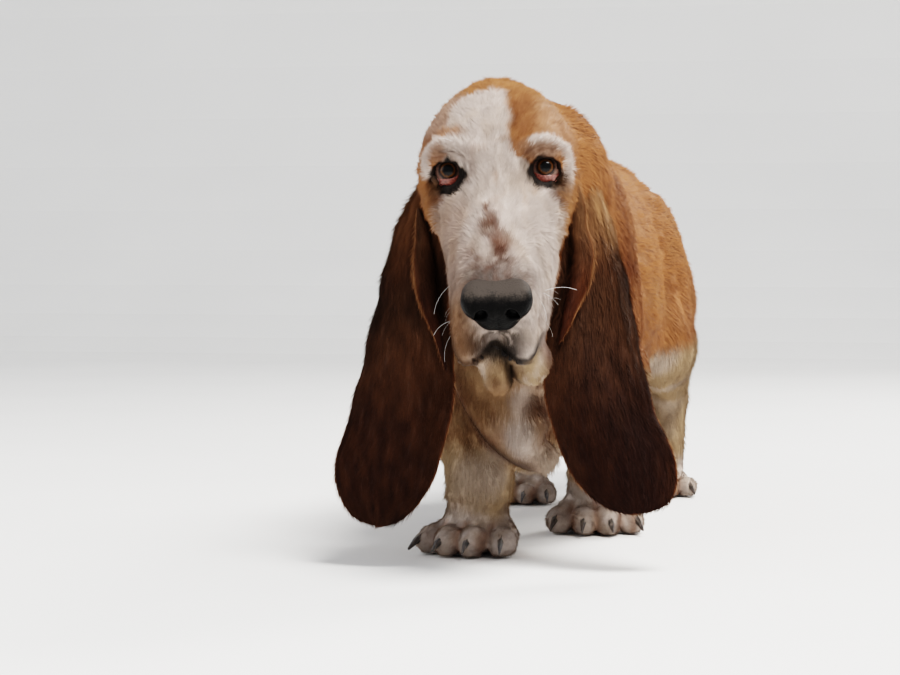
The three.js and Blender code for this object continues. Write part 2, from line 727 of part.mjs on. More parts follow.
// A closed sheet: a front and a back face with the same squares, and a rim round them.
function sheet(point, across, down, thickness) {
  const middle = [];
  for (let j = 0; j <= down; j++)
    for (let i = 0; i <= across; i++) middle.push(point(i / across, j / down));
  const at = (i, j) => middle[j * (across + 1) + i];
  const clamp = (v, most) => Math.min(most, Math.max(0, v));
  const points = [];
  for (const half of [-1, 1])
    for (let j = 0; j <= down; j++)
      for (let i = 0; i <= across; i++) {
        const du = at(clamp(i + 1, across), j).clone().sub(at(clamp(i - 1, across), j));
        const dv = at(i, clamp(j + 1, down)).clone().sub(at(i, clamp(j - 1, down)));
        const edge = i === 0 || i === across || j === down ? 0.5 : 1;
        const out = du.cross(dv).normalize().multiplyScalar((half * thickness * edge) / 2);
        points.push(...at(i, j).clone().add(out).toArray());
      }
  const layer = middle.length;
  const index = (half, i, j) => half * layer + j * (across + 1) + i;
  const triangles = [];
  const square = (a, b, c, d) => triangles.push(a, b, c, a, c, d);
  for (let j = 0; j < down; j++)
    for (let i = 0; i < across; i++) {
      const [a, b, c, d] = [[i, j], [i + 1, j], [i + 1, j + 1], [i, j + 1]];
      square(index(1, ...a), index(1, ...b), index(1, ...c), index(1, ...d));
      triangles.push(index(0, ...a), index(0, ...c), index(0, ...b));
      triangles.push(index(0, ...a), index(0, ...d), index(0, ...c));
    }
  for (let j = 0; j < down; j++) {
    square(index(0, 0, j), index(1, 0, j), index(1, 0, j + 1), index(0, 0, j + 1));
    square(index(1, across, j), index(0, across, j), index(0, across, j + 1), index(1, across, j + 1));
  }
  for (let i = 0; i < across; i++) {
    square(index(1, i, 0), index(0, i, 0), index(0, i + 1, 0), index(1, i + 1, 0));
    square(index(0, i, down), index(1, i, down), index(1, i + 1, down), index(0, i + 1, down));
  }
  return solidFrom(points, triangles);
}

function earSolid(rows) {
  const curve = new THREE.CatmullRomCurve3(rows.map((row) => new THREE.Vector3(...row.at)));
  const down = 18;
  // The rows lie closer together towards the round tip.
  const spaced = (v) => 1 - (1 - v) ** 1.35;
  return sheet((u, v) => earPoint(rows, curve, u, spaced(v)), 8, down, EAR_THICKNESS);
}

// Claws: small bent cones out of the front of each toe.
function clawSolid(leg, toe) {
  const size = leg.width / 86;
  const within = frame([leg.paw[0], leg.paw[1], 0], 0, leg.yaw);
  const root = new THREE.Vector3(toe.x + toe.fan, toe.tip - 1 * size, 16 * size);
  const rings = 3;
  const sides = 5;
  const points = [];
  for (let r = 0; r < rings; r++) {
    const along = (r / (rings - 1)) * 17 * size;
    const drop = (r / (rings - 1)) ** 1.7 * 9 * size;
    const radius = 4.6 * size * (1 - 0.72 * (r / (rings - 1)) ** 1.4);
    for (let s = 0; s < sides; s++) {
      const a = (s / sides) * 2 * Math.PI;
      const p = new THREE.Vector3(
        root.x + toe.fan * along * 0.12 + Math.cos(a) * radius * 0.8,
        root.y + 6 * size - along,
        root.z - drop + Math.sin(a) * radius,
      );
      points.push(...p.applyMatrix4(within).toArray());
    }
  }
  const ends = [0, rings - 1].map((r) => {
    const sum = [0, 0, 0];
    for (let s = 0; s < sides; s++) {
      for (let k = 0; k < 3; k++) sum[k] += points[(r * sides + s) * 3 + k] / sides;
    }
    points.push(...sum);
    return points.length / 3 - 1;
  });
  const triangles = [];
  for (let s = 0; s < sides; s++) {
    const t = (s + 1) % sides;
    for (let r = 0; r < rings - 1; r++) {
      const [a, b, c, d] = [r * sides + s, r * sides + t, (r + 1) * sides + t, (r + 1) * sides + s];
      triangles.push(a, c, b, a, d, c);
    }
    triangles.push(ends[0], s, t, ends[1], (rings - 1) * sides + t, (rings - 1) * sides + s);
  }
  const solid = solidFrom(points, triangles);
  return solid.volume() > 0 ? solid : solidFrom(points, triangles.slice().reverse());
}

// Materials

const material = (color, roughness) => new THREE.MeshStandardMaterial({ color, roughness });
const COAT_WHITE = material("#e2d6c4", 0.9);
const COAT_TAN = material("#b5713c", 0.9);
const COAT_FACE = material("#c79b6f", 0.9);
const EAR_BROWN = material("#43251c", 0.85);
const EYE_BROWN = material("#4a2a16", 0.2);
const NOSE_BLACK = material("#1c191a", 0.45);
const CLAW_BLACK = material("#2b2523", 0.5);

// The hound, node by node

const solids = new Map();
const keep = (name, solid, look) => solids.set(name, { solid, look });

function headSolid() {
  return solidOfField(fleshIn(boxOf(AROUND.head), 2.9), 4700);
}

// The first solid cut back to clear the others by the gap.
const clearOf = (solid, others, gap = GAP) =>
  others.reduce((left, other) => largest(left.subtract(grown(other, gap)).subtract(other)), solid);

// A rounded cutter round the root of a leg and all that is below it.
function legCutter({ side, elbow, wrist, stifle, hock, paw }) {
  const sole = [paw[0], paw[1], -20];
  const forms = elbow
    ? [
        bar([elbow[0] + side * 14, elbow[1] + 4, elbow[2] + 6], wrist, 50, 54, 6),
        bar(wrist, sole, 54, 66, 6),
      ]
    : [
        ball([side * 96, stifle[1] + 48, 214], [60, 84, 88], 6),
        bar([side * 84, stifle[1] + 8, stifle[2] - 2], hock, 44, 50, 6),
        bar(hock, sole, 50, 62, 6),
      ];
  return cutterOf(forms);
}

function tailCutter() {
  return cutterOf(chain([[0, 556, 290], ...TAIL_LINE.slice(3)], 34, 6));
}

function cutterOf(forms) {
  const field = new Field(boxOf([[-240, -200, -110], [240, 700, 340]]), 9).add(forms);
  return solidOfField(field, 380);
}

function build() {
  const eyes = [RIGHT, LEFT].map((side) => {
    const at = new THREE.Vector3(side * EYE_APART, 0, 0).applyMatrix4(HANG);
    return solidOf(new THREE.SphereGeometry(EYE_RADIUS, 16, 9).rotateX(Math.PI / 2).translate(...at));
  });
  keep("eye_right", eyes[0], EYE_BROWN);
  keep("eye_left", eyes[1], EYE_BROWN);

  const noseField = new Field(boxOf([[-20, -340, 170], [90, -240, 300]]), 2).add(noseForms());
  keep("nose", solidOfField(noseField, 560), NOSE_BLACK);
  const head = largest(headSolid().intersect(before(NECK_TO_HEAD)));
  keep("head", clearOf(head, [...eyes, solids.get("nose").solid]), COAT_FACE);

  const whole = solidOfField(fleshIn(boxOf(AROUND.body), 6), 3900);
  const body = whole.intersect(beyond(NECK_TO_HEAD)).intersect(beyond(FLOOR_TO_LEGS));
  keep("neck", largest(body.intersect(before(NECK_TO_TORSO))), COAT_TAN);
  const trunk = body.intersect(beyond(NECK_TO_TORSO));
  const cutters = [...LEGS.map(legCutter), tailCutter()];
  cutters.forEach((cutter, i) => {
    const leg = LEGS[i];
    const piece = largest(trunk.intersect(cutter)).simplify(0.02);
    keep(leg ? leg.name : "tail", piece, leg ? COAT_WHITE : COAT_TAN);
  });
  keep("torso", clearOf(trunk, cutters).simplify(0.02), COAT_TAN);

  for (const leg of LEGS) {
    const [x, y] = leg.paw;
    const box = boxOf([[x - 66, y - 74, -12], [x + 66, y + 74, PASTERN + 12]]);
    const whole = solidOfField(fleshIn(box, 2.9), 500);
    const paw = largest(whole.intersect(before(FLOOR_TO_LEGS)).intersect(beyond(FLOOR)));
    const name = leg.name.replace("leg", "paw");
    const claws = toeLayout(leg.width).map((toe) => clawSolid(leg, toe));
    claws.forEach((claw, i) => keep(`claw_${name}_${i + 1}`, claw, CLAW_BLACK));
    keep(name, clearOf(paw, claws).simplify(0.02), COAT_WHITE);
  }

  for (const [name, ear] of Object.entries(EARS)) {
    const whole = earSolid(ear);
    const near = ["head", "neck", "torso"].map((n) => solids.get(n).solid);
    keep(name, clearOf(whole, near, GAP * 1.5), EAR_BROWN);
  }
}

build();

const hound = new THREE.Group();
hound.name = "basset_hound";
const bounds = new THREE.Box3();
for (const [name, { solid, look }] of solids) {
  const geometry = geometryOf(solid);
  geometry.computeVertexNormals();
  const mesh = new THREE.Mesh(geometry, look);
  mesh.name = name;
  bounds.expandByObject(mesh);
  hound.add(mesh);
}
const middle = bounds.getCenter(new THREE.Vector3());
hound.position.set(-middle.x, -middle.y, -bounds.min.z);

export default hound;
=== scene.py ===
import json
import math

import bmesh
import bpy
import numpy as np
from bpy.props import FloatProperty, FloatVectorProperty, IntProperty, PointerProperty
from mathutils import Matrix, Vector

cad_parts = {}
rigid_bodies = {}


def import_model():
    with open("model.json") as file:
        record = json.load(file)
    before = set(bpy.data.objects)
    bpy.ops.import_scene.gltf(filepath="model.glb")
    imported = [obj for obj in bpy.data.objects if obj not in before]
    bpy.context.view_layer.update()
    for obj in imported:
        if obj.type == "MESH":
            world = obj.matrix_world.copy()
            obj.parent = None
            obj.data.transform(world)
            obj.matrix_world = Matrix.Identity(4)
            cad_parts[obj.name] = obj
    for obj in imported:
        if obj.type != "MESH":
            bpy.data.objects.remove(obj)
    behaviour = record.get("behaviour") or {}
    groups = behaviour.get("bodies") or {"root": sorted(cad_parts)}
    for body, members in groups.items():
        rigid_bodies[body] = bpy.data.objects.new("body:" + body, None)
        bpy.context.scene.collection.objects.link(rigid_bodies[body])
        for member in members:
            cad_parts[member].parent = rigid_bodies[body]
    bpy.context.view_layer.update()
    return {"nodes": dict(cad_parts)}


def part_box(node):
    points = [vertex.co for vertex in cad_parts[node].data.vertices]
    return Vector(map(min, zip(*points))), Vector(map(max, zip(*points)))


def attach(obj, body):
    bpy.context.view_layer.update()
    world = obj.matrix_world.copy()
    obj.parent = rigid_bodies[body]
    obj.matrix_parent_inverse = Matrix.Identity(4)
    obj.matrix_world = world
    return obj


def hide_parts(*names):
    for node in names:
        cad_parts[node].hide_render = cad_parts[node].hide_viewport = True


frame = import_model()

bl_info = {
    "name": "Basset hound dressing",
    "version": (1, 0, 0),
    "blender": (4, 5, 0),
    "location": "3D View > Sidebar > Hound",
    "description": "Dresses the solids of a life-size hound with skin, coat, ears, eyes, nose and claws",
    "category": "Object",
}

# Sizes of the hound's body, in millimetres

WITHERS = 368
BACK = 352
CHEST_HALF = 104
HIP_HALF = 98
KEEL = 64  # height of the breastbone over the floor
FOREPAW = 86  # width
HINDPAW = 72
EYE_MIDDLE = np.array((23.0, -206.0, 320.0))
HEAD_PITCH = 43  # degrees, as are the next two
HEAD_YAW = 8.5
HEAD_ROLL = -2
EYE_APART = 38
EYE_RADIUS = 12.5
LID_RISE = 2.2  # how far the lids' middle is above the eye's
FLOOR = 0.32  # where the soles are cut flat, in the hound's own zero
SIDES = (1, -1)  # the hound's left and right

CAMERA_TURN = 12.0  # degrees round the hound, towards its right
CAMERA_TILT = 2.12  # degrees down
CAMERA_AT = (-56.6, -2151, 262)  # to the right, ahead and up, as the camera is turned
CAMERA_LENS = 100
GAZE_RISE = 250  # the eyes look this far over the camera


def node_middle(name):
    """The middle of a node's box, in millimetres."""
    low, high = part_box(name)
    return (np.array(low) + np.array(high)) * 500


# The forms are laid out round the hound's own zero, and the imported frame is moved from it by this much
SHIFT = (node_middle("eye_left") + node_middle("eye_right")) / 2 - EYE_MIDDLE


def to_frame(points):
    """Millimetres round the hound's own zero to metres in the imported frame."""
    return (np.asarray(points) + SHIFT) / 1000


def camera_frame():
    """The camera's place, and the ways that are right and ahead for it, round the hound's own zero."""
    a, p = math.radians(CAMERA_TURN), math.radians(CAMERA_TILT)
    right = np.array((math.cos(a), math.sin(a), 0))
    ahead = np.array((-math.sin(a), math.cos(a), 0))
    at = right * CAMERA_AT[0] + ahead * CAMERA_AT[1] + (0, 0, CAMERA_AT[2])
    return at, right, ahead * math.cos(p) - np.array((0, 0, math.sin(p)))


# Frames and rounded forms


class Place:
    """A turned frame: where a group of forms has its own axes."""

    def __init__(self, at=(0, 0, 0), pitch=0.0, yaw=0.0, roll=0.0, within=None):
        turn = Matrix.Rotation(math.radians(yaw), 3, "Z")
        turn = turn @ Matrix.Rotation(math.radians(roll), 3, "Y")
        turn = np.array(turn @ Matrix.Rotation(math.radians(pitch), 3, "X"))
        at = np.array(at, float)
        self.turn = within.turn @ turn if within else turn
        self.at = within.out(at) if within else at

    def out(self, points):
        return np.asarray(points) @ self.turn.T + self.at

    def into(self, points):
        return (np.asarray(points) - self.at) @ self.turn


BODY = Place()
HEAD = Place(EYE_MIDDLE, HEAD_PITCH, HEAD_YAW, HEAD_ROLL)  # -Y runs down the muzzle
HANG = Place(EYE_MIDDLE, 0, HEAD_YAW, HEAD_ROLL)  # turned with the head but upright
NOSE = Place((0, -126, -19), within=HEAD)


class Form:
    """A rounded form: its distance is negative inside."""

    def __init__(self, place, distance, reach, blend):
        self.place = place
        self.distance = distance
        self.reach = reach
        self.blend = blend
        self.cuts = False


def ball(at, radii, blend, turn=(0, 0, 0), within=BODY):
    """An egg with three radii, turned in its frame."""
    place = Place(at, turn[0], turn[2], turn[1], within)
    radii = np.array(radii, float)

    def distance(p):
        near = np.sqrt(((p / radii) ** 2).sum(1)) + 1e-6
        steep = np.sqrt(((p / radii**2) ** 2).sum(1)) + 1e-9
        return near * (near - 1) / steep

    return Form(place, distance, radii.max(), blend)


def bar(start, end, r1, r2, blend, wide=1.0, within=BODY):
    """A tapered round bar. Wide stretches it sideways, along its frame's X."""
    start = np.array(start, float)
    along = np.array(end, float) - start
    length = np.linalg.norm(along)
    along /= length
    side = np.array((1.0, 0, 0)) - along[0] * along
    side /= np.linalg.norm(side)
    place = Place(start, within=within)
    place.turn = within.turn @ np.stack((side, np.cross(along, side), along), 1)
    slope = (r1 - r2) / length
    across = math.sqrt(1 - slope * slope)
    least = min(1, wide)

    def distance(p):
        out = np.hypot(p[:, 0] / wide, p[:, 1])
        z = p[:, 2]
        side = across * z - slope * out
        body = out * across + z * slope - r1
        body = np.where(side < 0, np.hypot(out, z) - r1, body)
        return least * np.where(side > across * length, np.hypot(out, z - length) - r2, body)

    return Form(place, distance, length + max(r1, r2) * max(1, wide), blend)


def curve_through(points, share):
    """A smooth line through points, and on past both ends."""
    points = np.array(points, float)
    points = np.concatenate(([2 * points[0] - points[1]], points, [2 * points[-1] - points[-2]]))
    at = share * (len(points) - 3)
    i = np.minimum(len(points) - 4, at.astype(int))
    t = (at - i)[:, None]
    a, b, c, d = (points[i + k] for k in range(4))
    return 0.5 * (2 * b + (c - a) * t + (2 * a - 5 * b + 4 * c - d) * t**2 + (3 * b - a - 3 * c + d) * t**3)


def strand(points, radius, blend, within=BODY, steps=3):
    """One smooth rounded form along a line, as for a lid, a lip, a fold or the tail."""
    share = np.linspace(0, 1, steps * (len(points) - 1) + 1)
    line = curve_through(points, share)
    sizes = [radius(v) if callable(radius) else radius for v in share]
    middle = line.mean(0)
    line = line - middle

    def distance(p):
        near = np.full(len(p), np.inf)
        for a, b, r1, r2 in zip(line, line[1:], sizes, sizes[1:]):
            along = b - a
            t = np.clip((p - a) @ along / (along @ along), 0, 1)
            away = p - a - t[:, None] * along
            near = np.minimum(near, np.sqrt((away * away).sum(1)) - r1 - (r2 - r1) * t)
        return near

    reach = np.linalg.norm(line, axis=1).max() + max(sizes)
    return Form(Place(middle, within=within), distance, reach, blend)


def block(at, half, rounding, blend, turn=(0, 0, 0), within=BODY):
    """A box with round edges."""
    place = Place(at, turn[0], turn[2], turn[1], within)
    core = np.array(half, float) - rounding

    def distance(p):
        over = np.abs(p) - core
        outside = np.sqrt((np.maximum(over, 0) ** 2).sum(1))
        return outside + np.minimum(over.max(1), 0) - rounding

    return Form(place, distance, float(np.linalg.norm(half)), blend)


def cut(form):
    """The same form, taken away instead of added."""
    form.cuts = True
    return form


def both(make):
    """What make returns for the left side and for the right, in one list."""
    made = [make(side) for side in SIDES]
    return sum(made, []) if isinstance(made[0], list) else made


def soften(a, b, blend):
    """Joins two distances with a fillet of about the blend's size."""
    near = np.maximum(blend - np.abs(a - b), 0)
    return np.minimum(a, b) - near * near / (4 * blend + 1e-9)


# The body


def torso_forms():
    return [
        ball((0, 150, 222), (CHEST_HALF, 200, 118), 30),
        ball((4, -22, 208), (70, 72, 84), 40),  # the front of the chest
        ball((4, 36, KEEL + 56), (46, 128, 56), 34),  # the breastbone's keel
        ball((0, 20, WITHERS - 60), (46, 100, 60), 40),
        ball((0, 300, BACK - 92), (76, 170, 92), 50),  # loin
        ball((0, 260, 184), (84, 150, 62), 40),  # belly
        ball((0, 430, BACK - 88), (68, 98, 86), 40),  # croup
        *both(lambda s: ball((s * 64, 8, 250), (34, 60, 86), 30, (-22, -s * 10, 0))),  # blade
        *both(lambda s: ball((s * 72, -8, 196), (36, 54, 56), 26, (25, 0, 0))),  # arm
        *both(lambda s: ball((s * 58, 424, 216), (HIP_HALF - 58, 84, 90), 34)),  # haunch
        *both(lambda s: ball((s * 34, 494, 250), (34, 36, 56), 24)),  # buttock
        *both(lambda s: ball((s * 60, 334, 176), (22, 62, 30), 26, (20, 0, 0))),  # flank fold
        strand(CHEST_HEM, lambda v: 9 + 6 * v, 12),
        ball((24, -74, 112), (17, 16, 24), 12),
        cut(strand(CHEST_CREASE, lambda v: 2.4, 7)),
    ]


# The loose skin of the chest hangs over the top of the right foreleg along this line
CHEST_HEM = (
    (-32, -74, 150),
    (-22, -80, 131),
    (-8, -82, 115),
    (6, -77, 100),
    (19, -67, 88),
    (33, -54, 84),
)
HEM_MARK = [(x - 9, z - 7) for x, _, z in CHEST_HEM]  # its shadow on the leg, by X and Z
CHEST_CREASE = ((-2, -92, 106), (12, -92, 96), (30, -86, 93), (46, -66, 96))


def neck_forms():
    return [
        bar((14, -20, 282), (34, -112, 320), 80, 62, 36),
        bar((6, -70, 214), (24, -152, 258), 56, 40, 30),
        ball((40, -128, 208), (15, 44, 44), 22, (20, 0, 8)),  # dewlap, left fold
        ball((6, -124, 204), (15, 44, 46), 22, (20, 0, 4)),  # dewlap, right fold
    ]


TAIL_LINE = (
    (0, 490, 304),
    (0, 534, 296),
    (1, 566, 262),
    (3, 584, 212),
    (6, 598, 160),
    (9, 616, 118),
    (12, 642, 92),
)


def tail_forms():
    return [strand(TAIL_LINE, lambda share: 5 + 20 * (1 - share) ** 0.8, 8)]


# The head, laid out in its own frame: X sideways, -Y down the muzzle, Z out of the forehead


def head_forms():
    def head(*sizes):
        return ball(*sizes, within=HEAD)

    def hang(*sizes):
        return ball(*sizes, within=HANG)

    return [
        head((0, 33, -7), (56, 64, 44), 20),  # skull
        head((0, 76, 2), (18, 18, 13), 20),  # peak of the skull
        head((0, 28, -42), (50, 52, 40), 30),  # jaw muscles and throat
        *both(lambda s: head((s * 40, 22, -34), (20, 42, 36), 20)),  # cheek
        *both(lambda s: hang((s * 28 + 2, 12, -56), (17, 34, 46), 18, (0, s * 4, 0))),  # cheek skin
        *both(lambda s: head((s * 34, 4, 12), (23, 18, 13), 12, (0, s * 20, 0))),  # brow
        bar((0, -4, -16), (0, -111, -23), 26, 20.5, 16, 1.1, HEAD),  # bridge
        bar((0, -16, -36), (0, -104, -40), 34, 25, 20, 1, HEAD),  # upper jaw
        bar((0, -10, -70), (0, -84, -76), 28, 17, 12, 1.1, HEAD),  # lower jaw
        *both(lambda s: hang((s * 18 - 3, -38, -108), (13.5, 32, 36), 10, (0, 0, s * 16))),  # flew
        *both(lambda s: hang((s * 20 - 4, -34, -132), (12, 24, 18), 9, (0, 0, s * 12))),
        *both(lambda s: hang((s * 24, 2, -102), (13, 36, 44), 14, (0, 0, s * 6))),
        *[cut(f) for f in both(orbit)],
        *both(hood),
        *both(lids),
        strand(CHIN, lambda v: 12.5 - 1.5 * v, 9, HANG),
        hang((21, -13, -147), (17, 18, 20), 4),  # fold of the lower lip
        *[strand(line, 2.6, 2, HANG) for line in LIPS],
        cut(bar((-2, -84, -112), (-6, -66, -132), 2.0, 3.4, 2, 1, HANG)),  # groove under the nose
        *both(lambda s: cut(ball((s * 58, 44, -48), (7, 9, 9), 4, within=HEAD))),
    ]


CHIN = ((-9, -28, -130), (-7, -27, -146), (-3, -25, -162))

# The black rims of the upper lips, from under the nose out round each flew
LIPS = (
    (
        (-7, -62, -134),
        (-12, -58, -141),
        (-21, -50, -148),
        (-30, -34, -148),
        (-34, -14, -142),
        (-38, 10, -128),
    ),
    (
        (-3, -62, -133),
        (3, -58, -140),
        (12, -50, -147),
        (22, -36, -148),
        (28, -16, -142),
        (34, 10, -128),
    ),
)


def orbit(side):
    """The hollow that the eye and its lids sit in."""
    return ball((side * 37, -23, 0), (17, 8, 17), 7, within=HANG)


def hood(side):
    """The roll of skin that starts over the eye and hangs down its outer side."""
    line = (
        (21, -20, 15),
        (31, -21, 19.5),
        (42, -17, 19.5),
        (50, -10, 13),
        (53, -5, 3),
        (53.5, -1, -9),
        (51, 2, -24),
        (48, 4, -42),
    )
    line = [(side * x, y, z) for x, y, z in line]
    crease = [(x - side * 6, y - 5, z - 2) for x, y, z in line[4:]]
    fold = strand(line, lambda v: 5.2 - 2.4 * v, 5, HANG)
    return [fold, cut(strand(crease, lambda v: 2.2 - 1.6 * v, 4, HANG))]


def lid_rim(side, drop):
    """Points along one lid's margin, from the outer corner to the inner one."""
    points = []
    for a in np.linspace(0, math.pi, 9):
        x = math.cos(a) * 12.2
        z = math.sin(a) * drop + LID_RISE
        points.append((side * EYE_APART + x, -math.sqrt(max(9, 15.2**2 - x * x - z * z)), z))
    return points


def lids(side):
    """A socket, then the lids round it: the upper one level, the lower one drooping."""
    socket = ball((side * EYE_APART, -13, -1), (11, 14, 12), 4, within=HANG)
    upper = strand(lid_rim(side, 7.6), 3.4, 2.5, HANG, 2)
    lower = strand(lid_rim(side, -15.2), 3.0, 2.5, HANG, 2)
    return [cut(socket), upper, lower]


def nose_forms():
    """The nose leather, broad above and narrow below, with a nostril open at each side."""
    return [
        block((0, 1, 4), (25.5, 13, 10.5), 10, 6, within=NOSE),
        block((0, 1, -4), (19, 12.5, 13), 9, 9, within=NOSE),
        block((0, 1, -10), (13, 12.5, 14), 8, 9, within=NOSE),
        *both(lambda s: ball((s * 15, -2, 1), (11, 13.5, 11), 5, within=NOSE)),
        *both(lambda s: cut(ball((s * 11.5, -15, -1), (4.5, 8, 5.5), 2.5, within=NOSE))),
        *both(lambda s: cut(bar((s * 13, -13, -3), (s * 24, -4, -6), 2.8, 1.6, 2, 1, NOSE))),
        cut(bar((0, -16, 6), (0, -13, -22), 1.3, 1.5, 2, 1, NOSE)),
    ]


# The legs: each hangs from its upper joint to the wrist or hock, and ends in its paw


class Leg:
    """One leg: its joints, its paw and the paw's own frame, whose -Y points at the toes."""

    def __init__(self, name, side, upper, wrist, paw, width, yaw):
        self.name = name
        self.side = side
        self.fore = name.startswith("fore")
        self.upper = np.array(upper, float)
        self.wrist = np.array(wrist, float)
        self.paw = np.array(paw, float)
        self.width = width
        self.foot = Place(paw, yaw=yaw)
        self.blend = 7 if self.fore else 24

    def forms(self):
        return [*(self.foreleg() if self.fore else self.hindleg()), *self.paw_forms()]

    def foreleg(self):
        above = self.wrist + (self.upper - self.wrist) * 0.3
        below = self.wrist + (self.paw - self.wrist) * 0.25
        x, y = self.paw[:2]
        return [
            ball(self.upper, (30, 38, 40), 16),
            bar(self.upper, self.wrist, 33, 25, 14),
            ball(self.wrist, (27, 27, 22), 12),
            bar(self.wrist, (x, y + 14, 28), 25, 29, 12),
            ball(above, (29, 29, 7), 7, (8, self.side * 10, 0)),
            ball(below, (29.5, 29.5, 7), 6, (-6, 0, 0)),
        ]

    def hindleg(self):
        hock = self.wrist
        x, y = self.paw[:2]
        return [
            bar((self.side * 64, self.upper[1] + 50, 205), self.upper, 48, 33, 24, 0.8),
            bar(self.upper, hock + (0, -10, 6), 34, 20, 20),
            ball(hock + (0, 2, 4), (15, 18, 21), 12),
            bar(hock + (0, -6, -8), (x, y + 18, 30), 20, 22, 12),
        ]

    def toes(self):
        """Each toe's sideways place, the y of its tip and how far it fans out."""
        for place in (-1.5, -0.5, 0.5, 1.5):
            tip = (-44 if abs(place) < 1 else -30) * self.width / FOREPAW
            yield place * self.width / 4, tip, place * 2

    def paw_forms(self):
        k = self.width / FOREPAW
        made = [
            ball((0, 14, 15 * k), (35 * k, 31 * k, 17 * k), 10, within=self.foot),
            ball((0, 18, 10 * k), (25 * k, 19 * k, 14 * k), 6, within=self.foot),
        ]
        for x, tip, fan in self.toes():
            low = 0.07 * abs(x)
            knuckle = (x, tip + 18 * k, (15.5 - low) * k)
            end = (x + fan, tip + 6.5, (15 - low) * k)
            made.append(bar((x * 0.7, 6, 17 * k), knuckle, 13.5 * k, 12.5 * k, 9, 1, self.foot))
            made.append(bar(knuckle, end, 12 * k, 9.5 * k, 6, 1, self.foot))
            made.append(ball((x, tip + 13, 8 * k), (10 * k, 13 * k, 9 * k), 6, within=self.foot))
        return made


LEGS = (
    Leg("foreleg_right", -1, (-68, 2, 152), (-24, -34, 66), (-28, -44, 0), FOREPAW, -12),
    Leg("foreleg_left", 1, (76, 46, 150), (54, 118, 74), (48, 134, 0), FOREPAW, 12),
    Leg("hindleg_right", -1, (-74, 330, 158), (-64, 420, 98), (-62, 378, 0), HINDPAW, -6),
    Leg("hindleg_left", 1, (78, 386, 160), (70, 512, 104), (66, 478, 0), HINDPAW, 6),
)

GROUPS = {
    "torso": (torso_forms(), 0),
    "neck": (neck_forms(), 40),
    "head": (head_forms(), 13),
    "tail": (tail_forms(), 18),
}
for leg in LEGS:
    GROUPS[leg.name] = (leg.forms(), leg.blend)


# Smooth surfaces

FAR = 400.0  # the distance where no form is near


class Flesh:
    """The whole body's surface, as seen from a set of points. The forms near each point are found once."""

    def __init__(self, points, margin=45.0):
        self.groups = []
        for forms, blend in GROUPS.values():
            near = []
            for form in forms:
                away = points - form.place.at
                close = np.einsum("ij,ij->i", away, away) < (form.reach + margin) ** 2
                index = np.flatnonzero(close)
                if len(index):
                    near.append((form, index))
            self.groups.append((near, blend))

    def parts(self, points):
        """Each group's own distance from each point, one row for each group."""
        rows = np.full((len(self.groups), len(points)), FAR)
        for row, (near, _) in zip(rows, self.groups):
            for form, index in near:
                d = form.distance(form.place.into(points[index]))
                v = row[index]
                row[index] = -soften(-v, d, form.blend) if form.cuts else soften(v, d, form.blend)
        return rows

    def __call__(self, points):
        """Distance to the surface, with the soles flat on the floor."""
        rows = self.parts(points)
        value = rows[0]
        for row, (_, blend) in zip(rows[1:], self.groups[1:]):
            value = soften(value, row, blend)
        return np.maximum(value, FLOOR - points[:, 2])


def slope_of(field, points, step=0.4):
    """The field's gradient, from its values at four corners round each point."""
    corners = np.array(((1, -1, -1), (-1, -1, 1), (-1, 1, -1), (1, 1, 1)), float)
    total = np.zeros_like(points)
    for corner in corners:
        total += corner * field(points + corner * step)[:, None]
    return total / (4 * step)


def unit(vectors):
    """The same directions, each of length 1."""
    return vectors / np.maximum(np.linalg.norm(vectors, axis=1, keepdims=True), 1e-9)


def settle(field, points, rounds, most=2.0):
    """Moves points along the field's slope until they lie on its surface."""
    for _ in range(rounds):
        value = field(points)
        slope = slope_of(field, points)
        step = value / np.maximum((slope * slope).sum(1), 0.2)
        points = points - slope * np.clip(step, -most, most)[:, None]
    return points


def grid_values(field, low, high, cell):
    """The field on a regular grid: coarse first, then fine only near the surface."""
    shape = np.ceil((high - low) / cell).astype(int) + 1
    coarse = 4
    knots = [np.arange(0, n + coarse, coarse) for n in shape]
    mesh = np.stack(np.meshgrid(*knots, indexing="ij"), -1)
    rough = field(low + mesh.reshape(-1, 3) * cell).reshape(mesh.shape[:3])
    fine = rough
    for axis in range(3):
        fine = np.repeat(fine, coarse, axis=axis)
    half = coarse // 2
    fine = np.roll(fine, (-half, -half, -half), (0, 1, 2))[: shape[0], : shape[1], : shape[2]]
    near = np.flatnonzero(np.abs(fine) < cell * coarse * 1.1)
    at = np.stack(np.unravel_index(near, fine.shape), -1)
    values = fine.ravel().copy()
    values[near] = field(low + at * cell)
    return values.reshape(fine.shape)


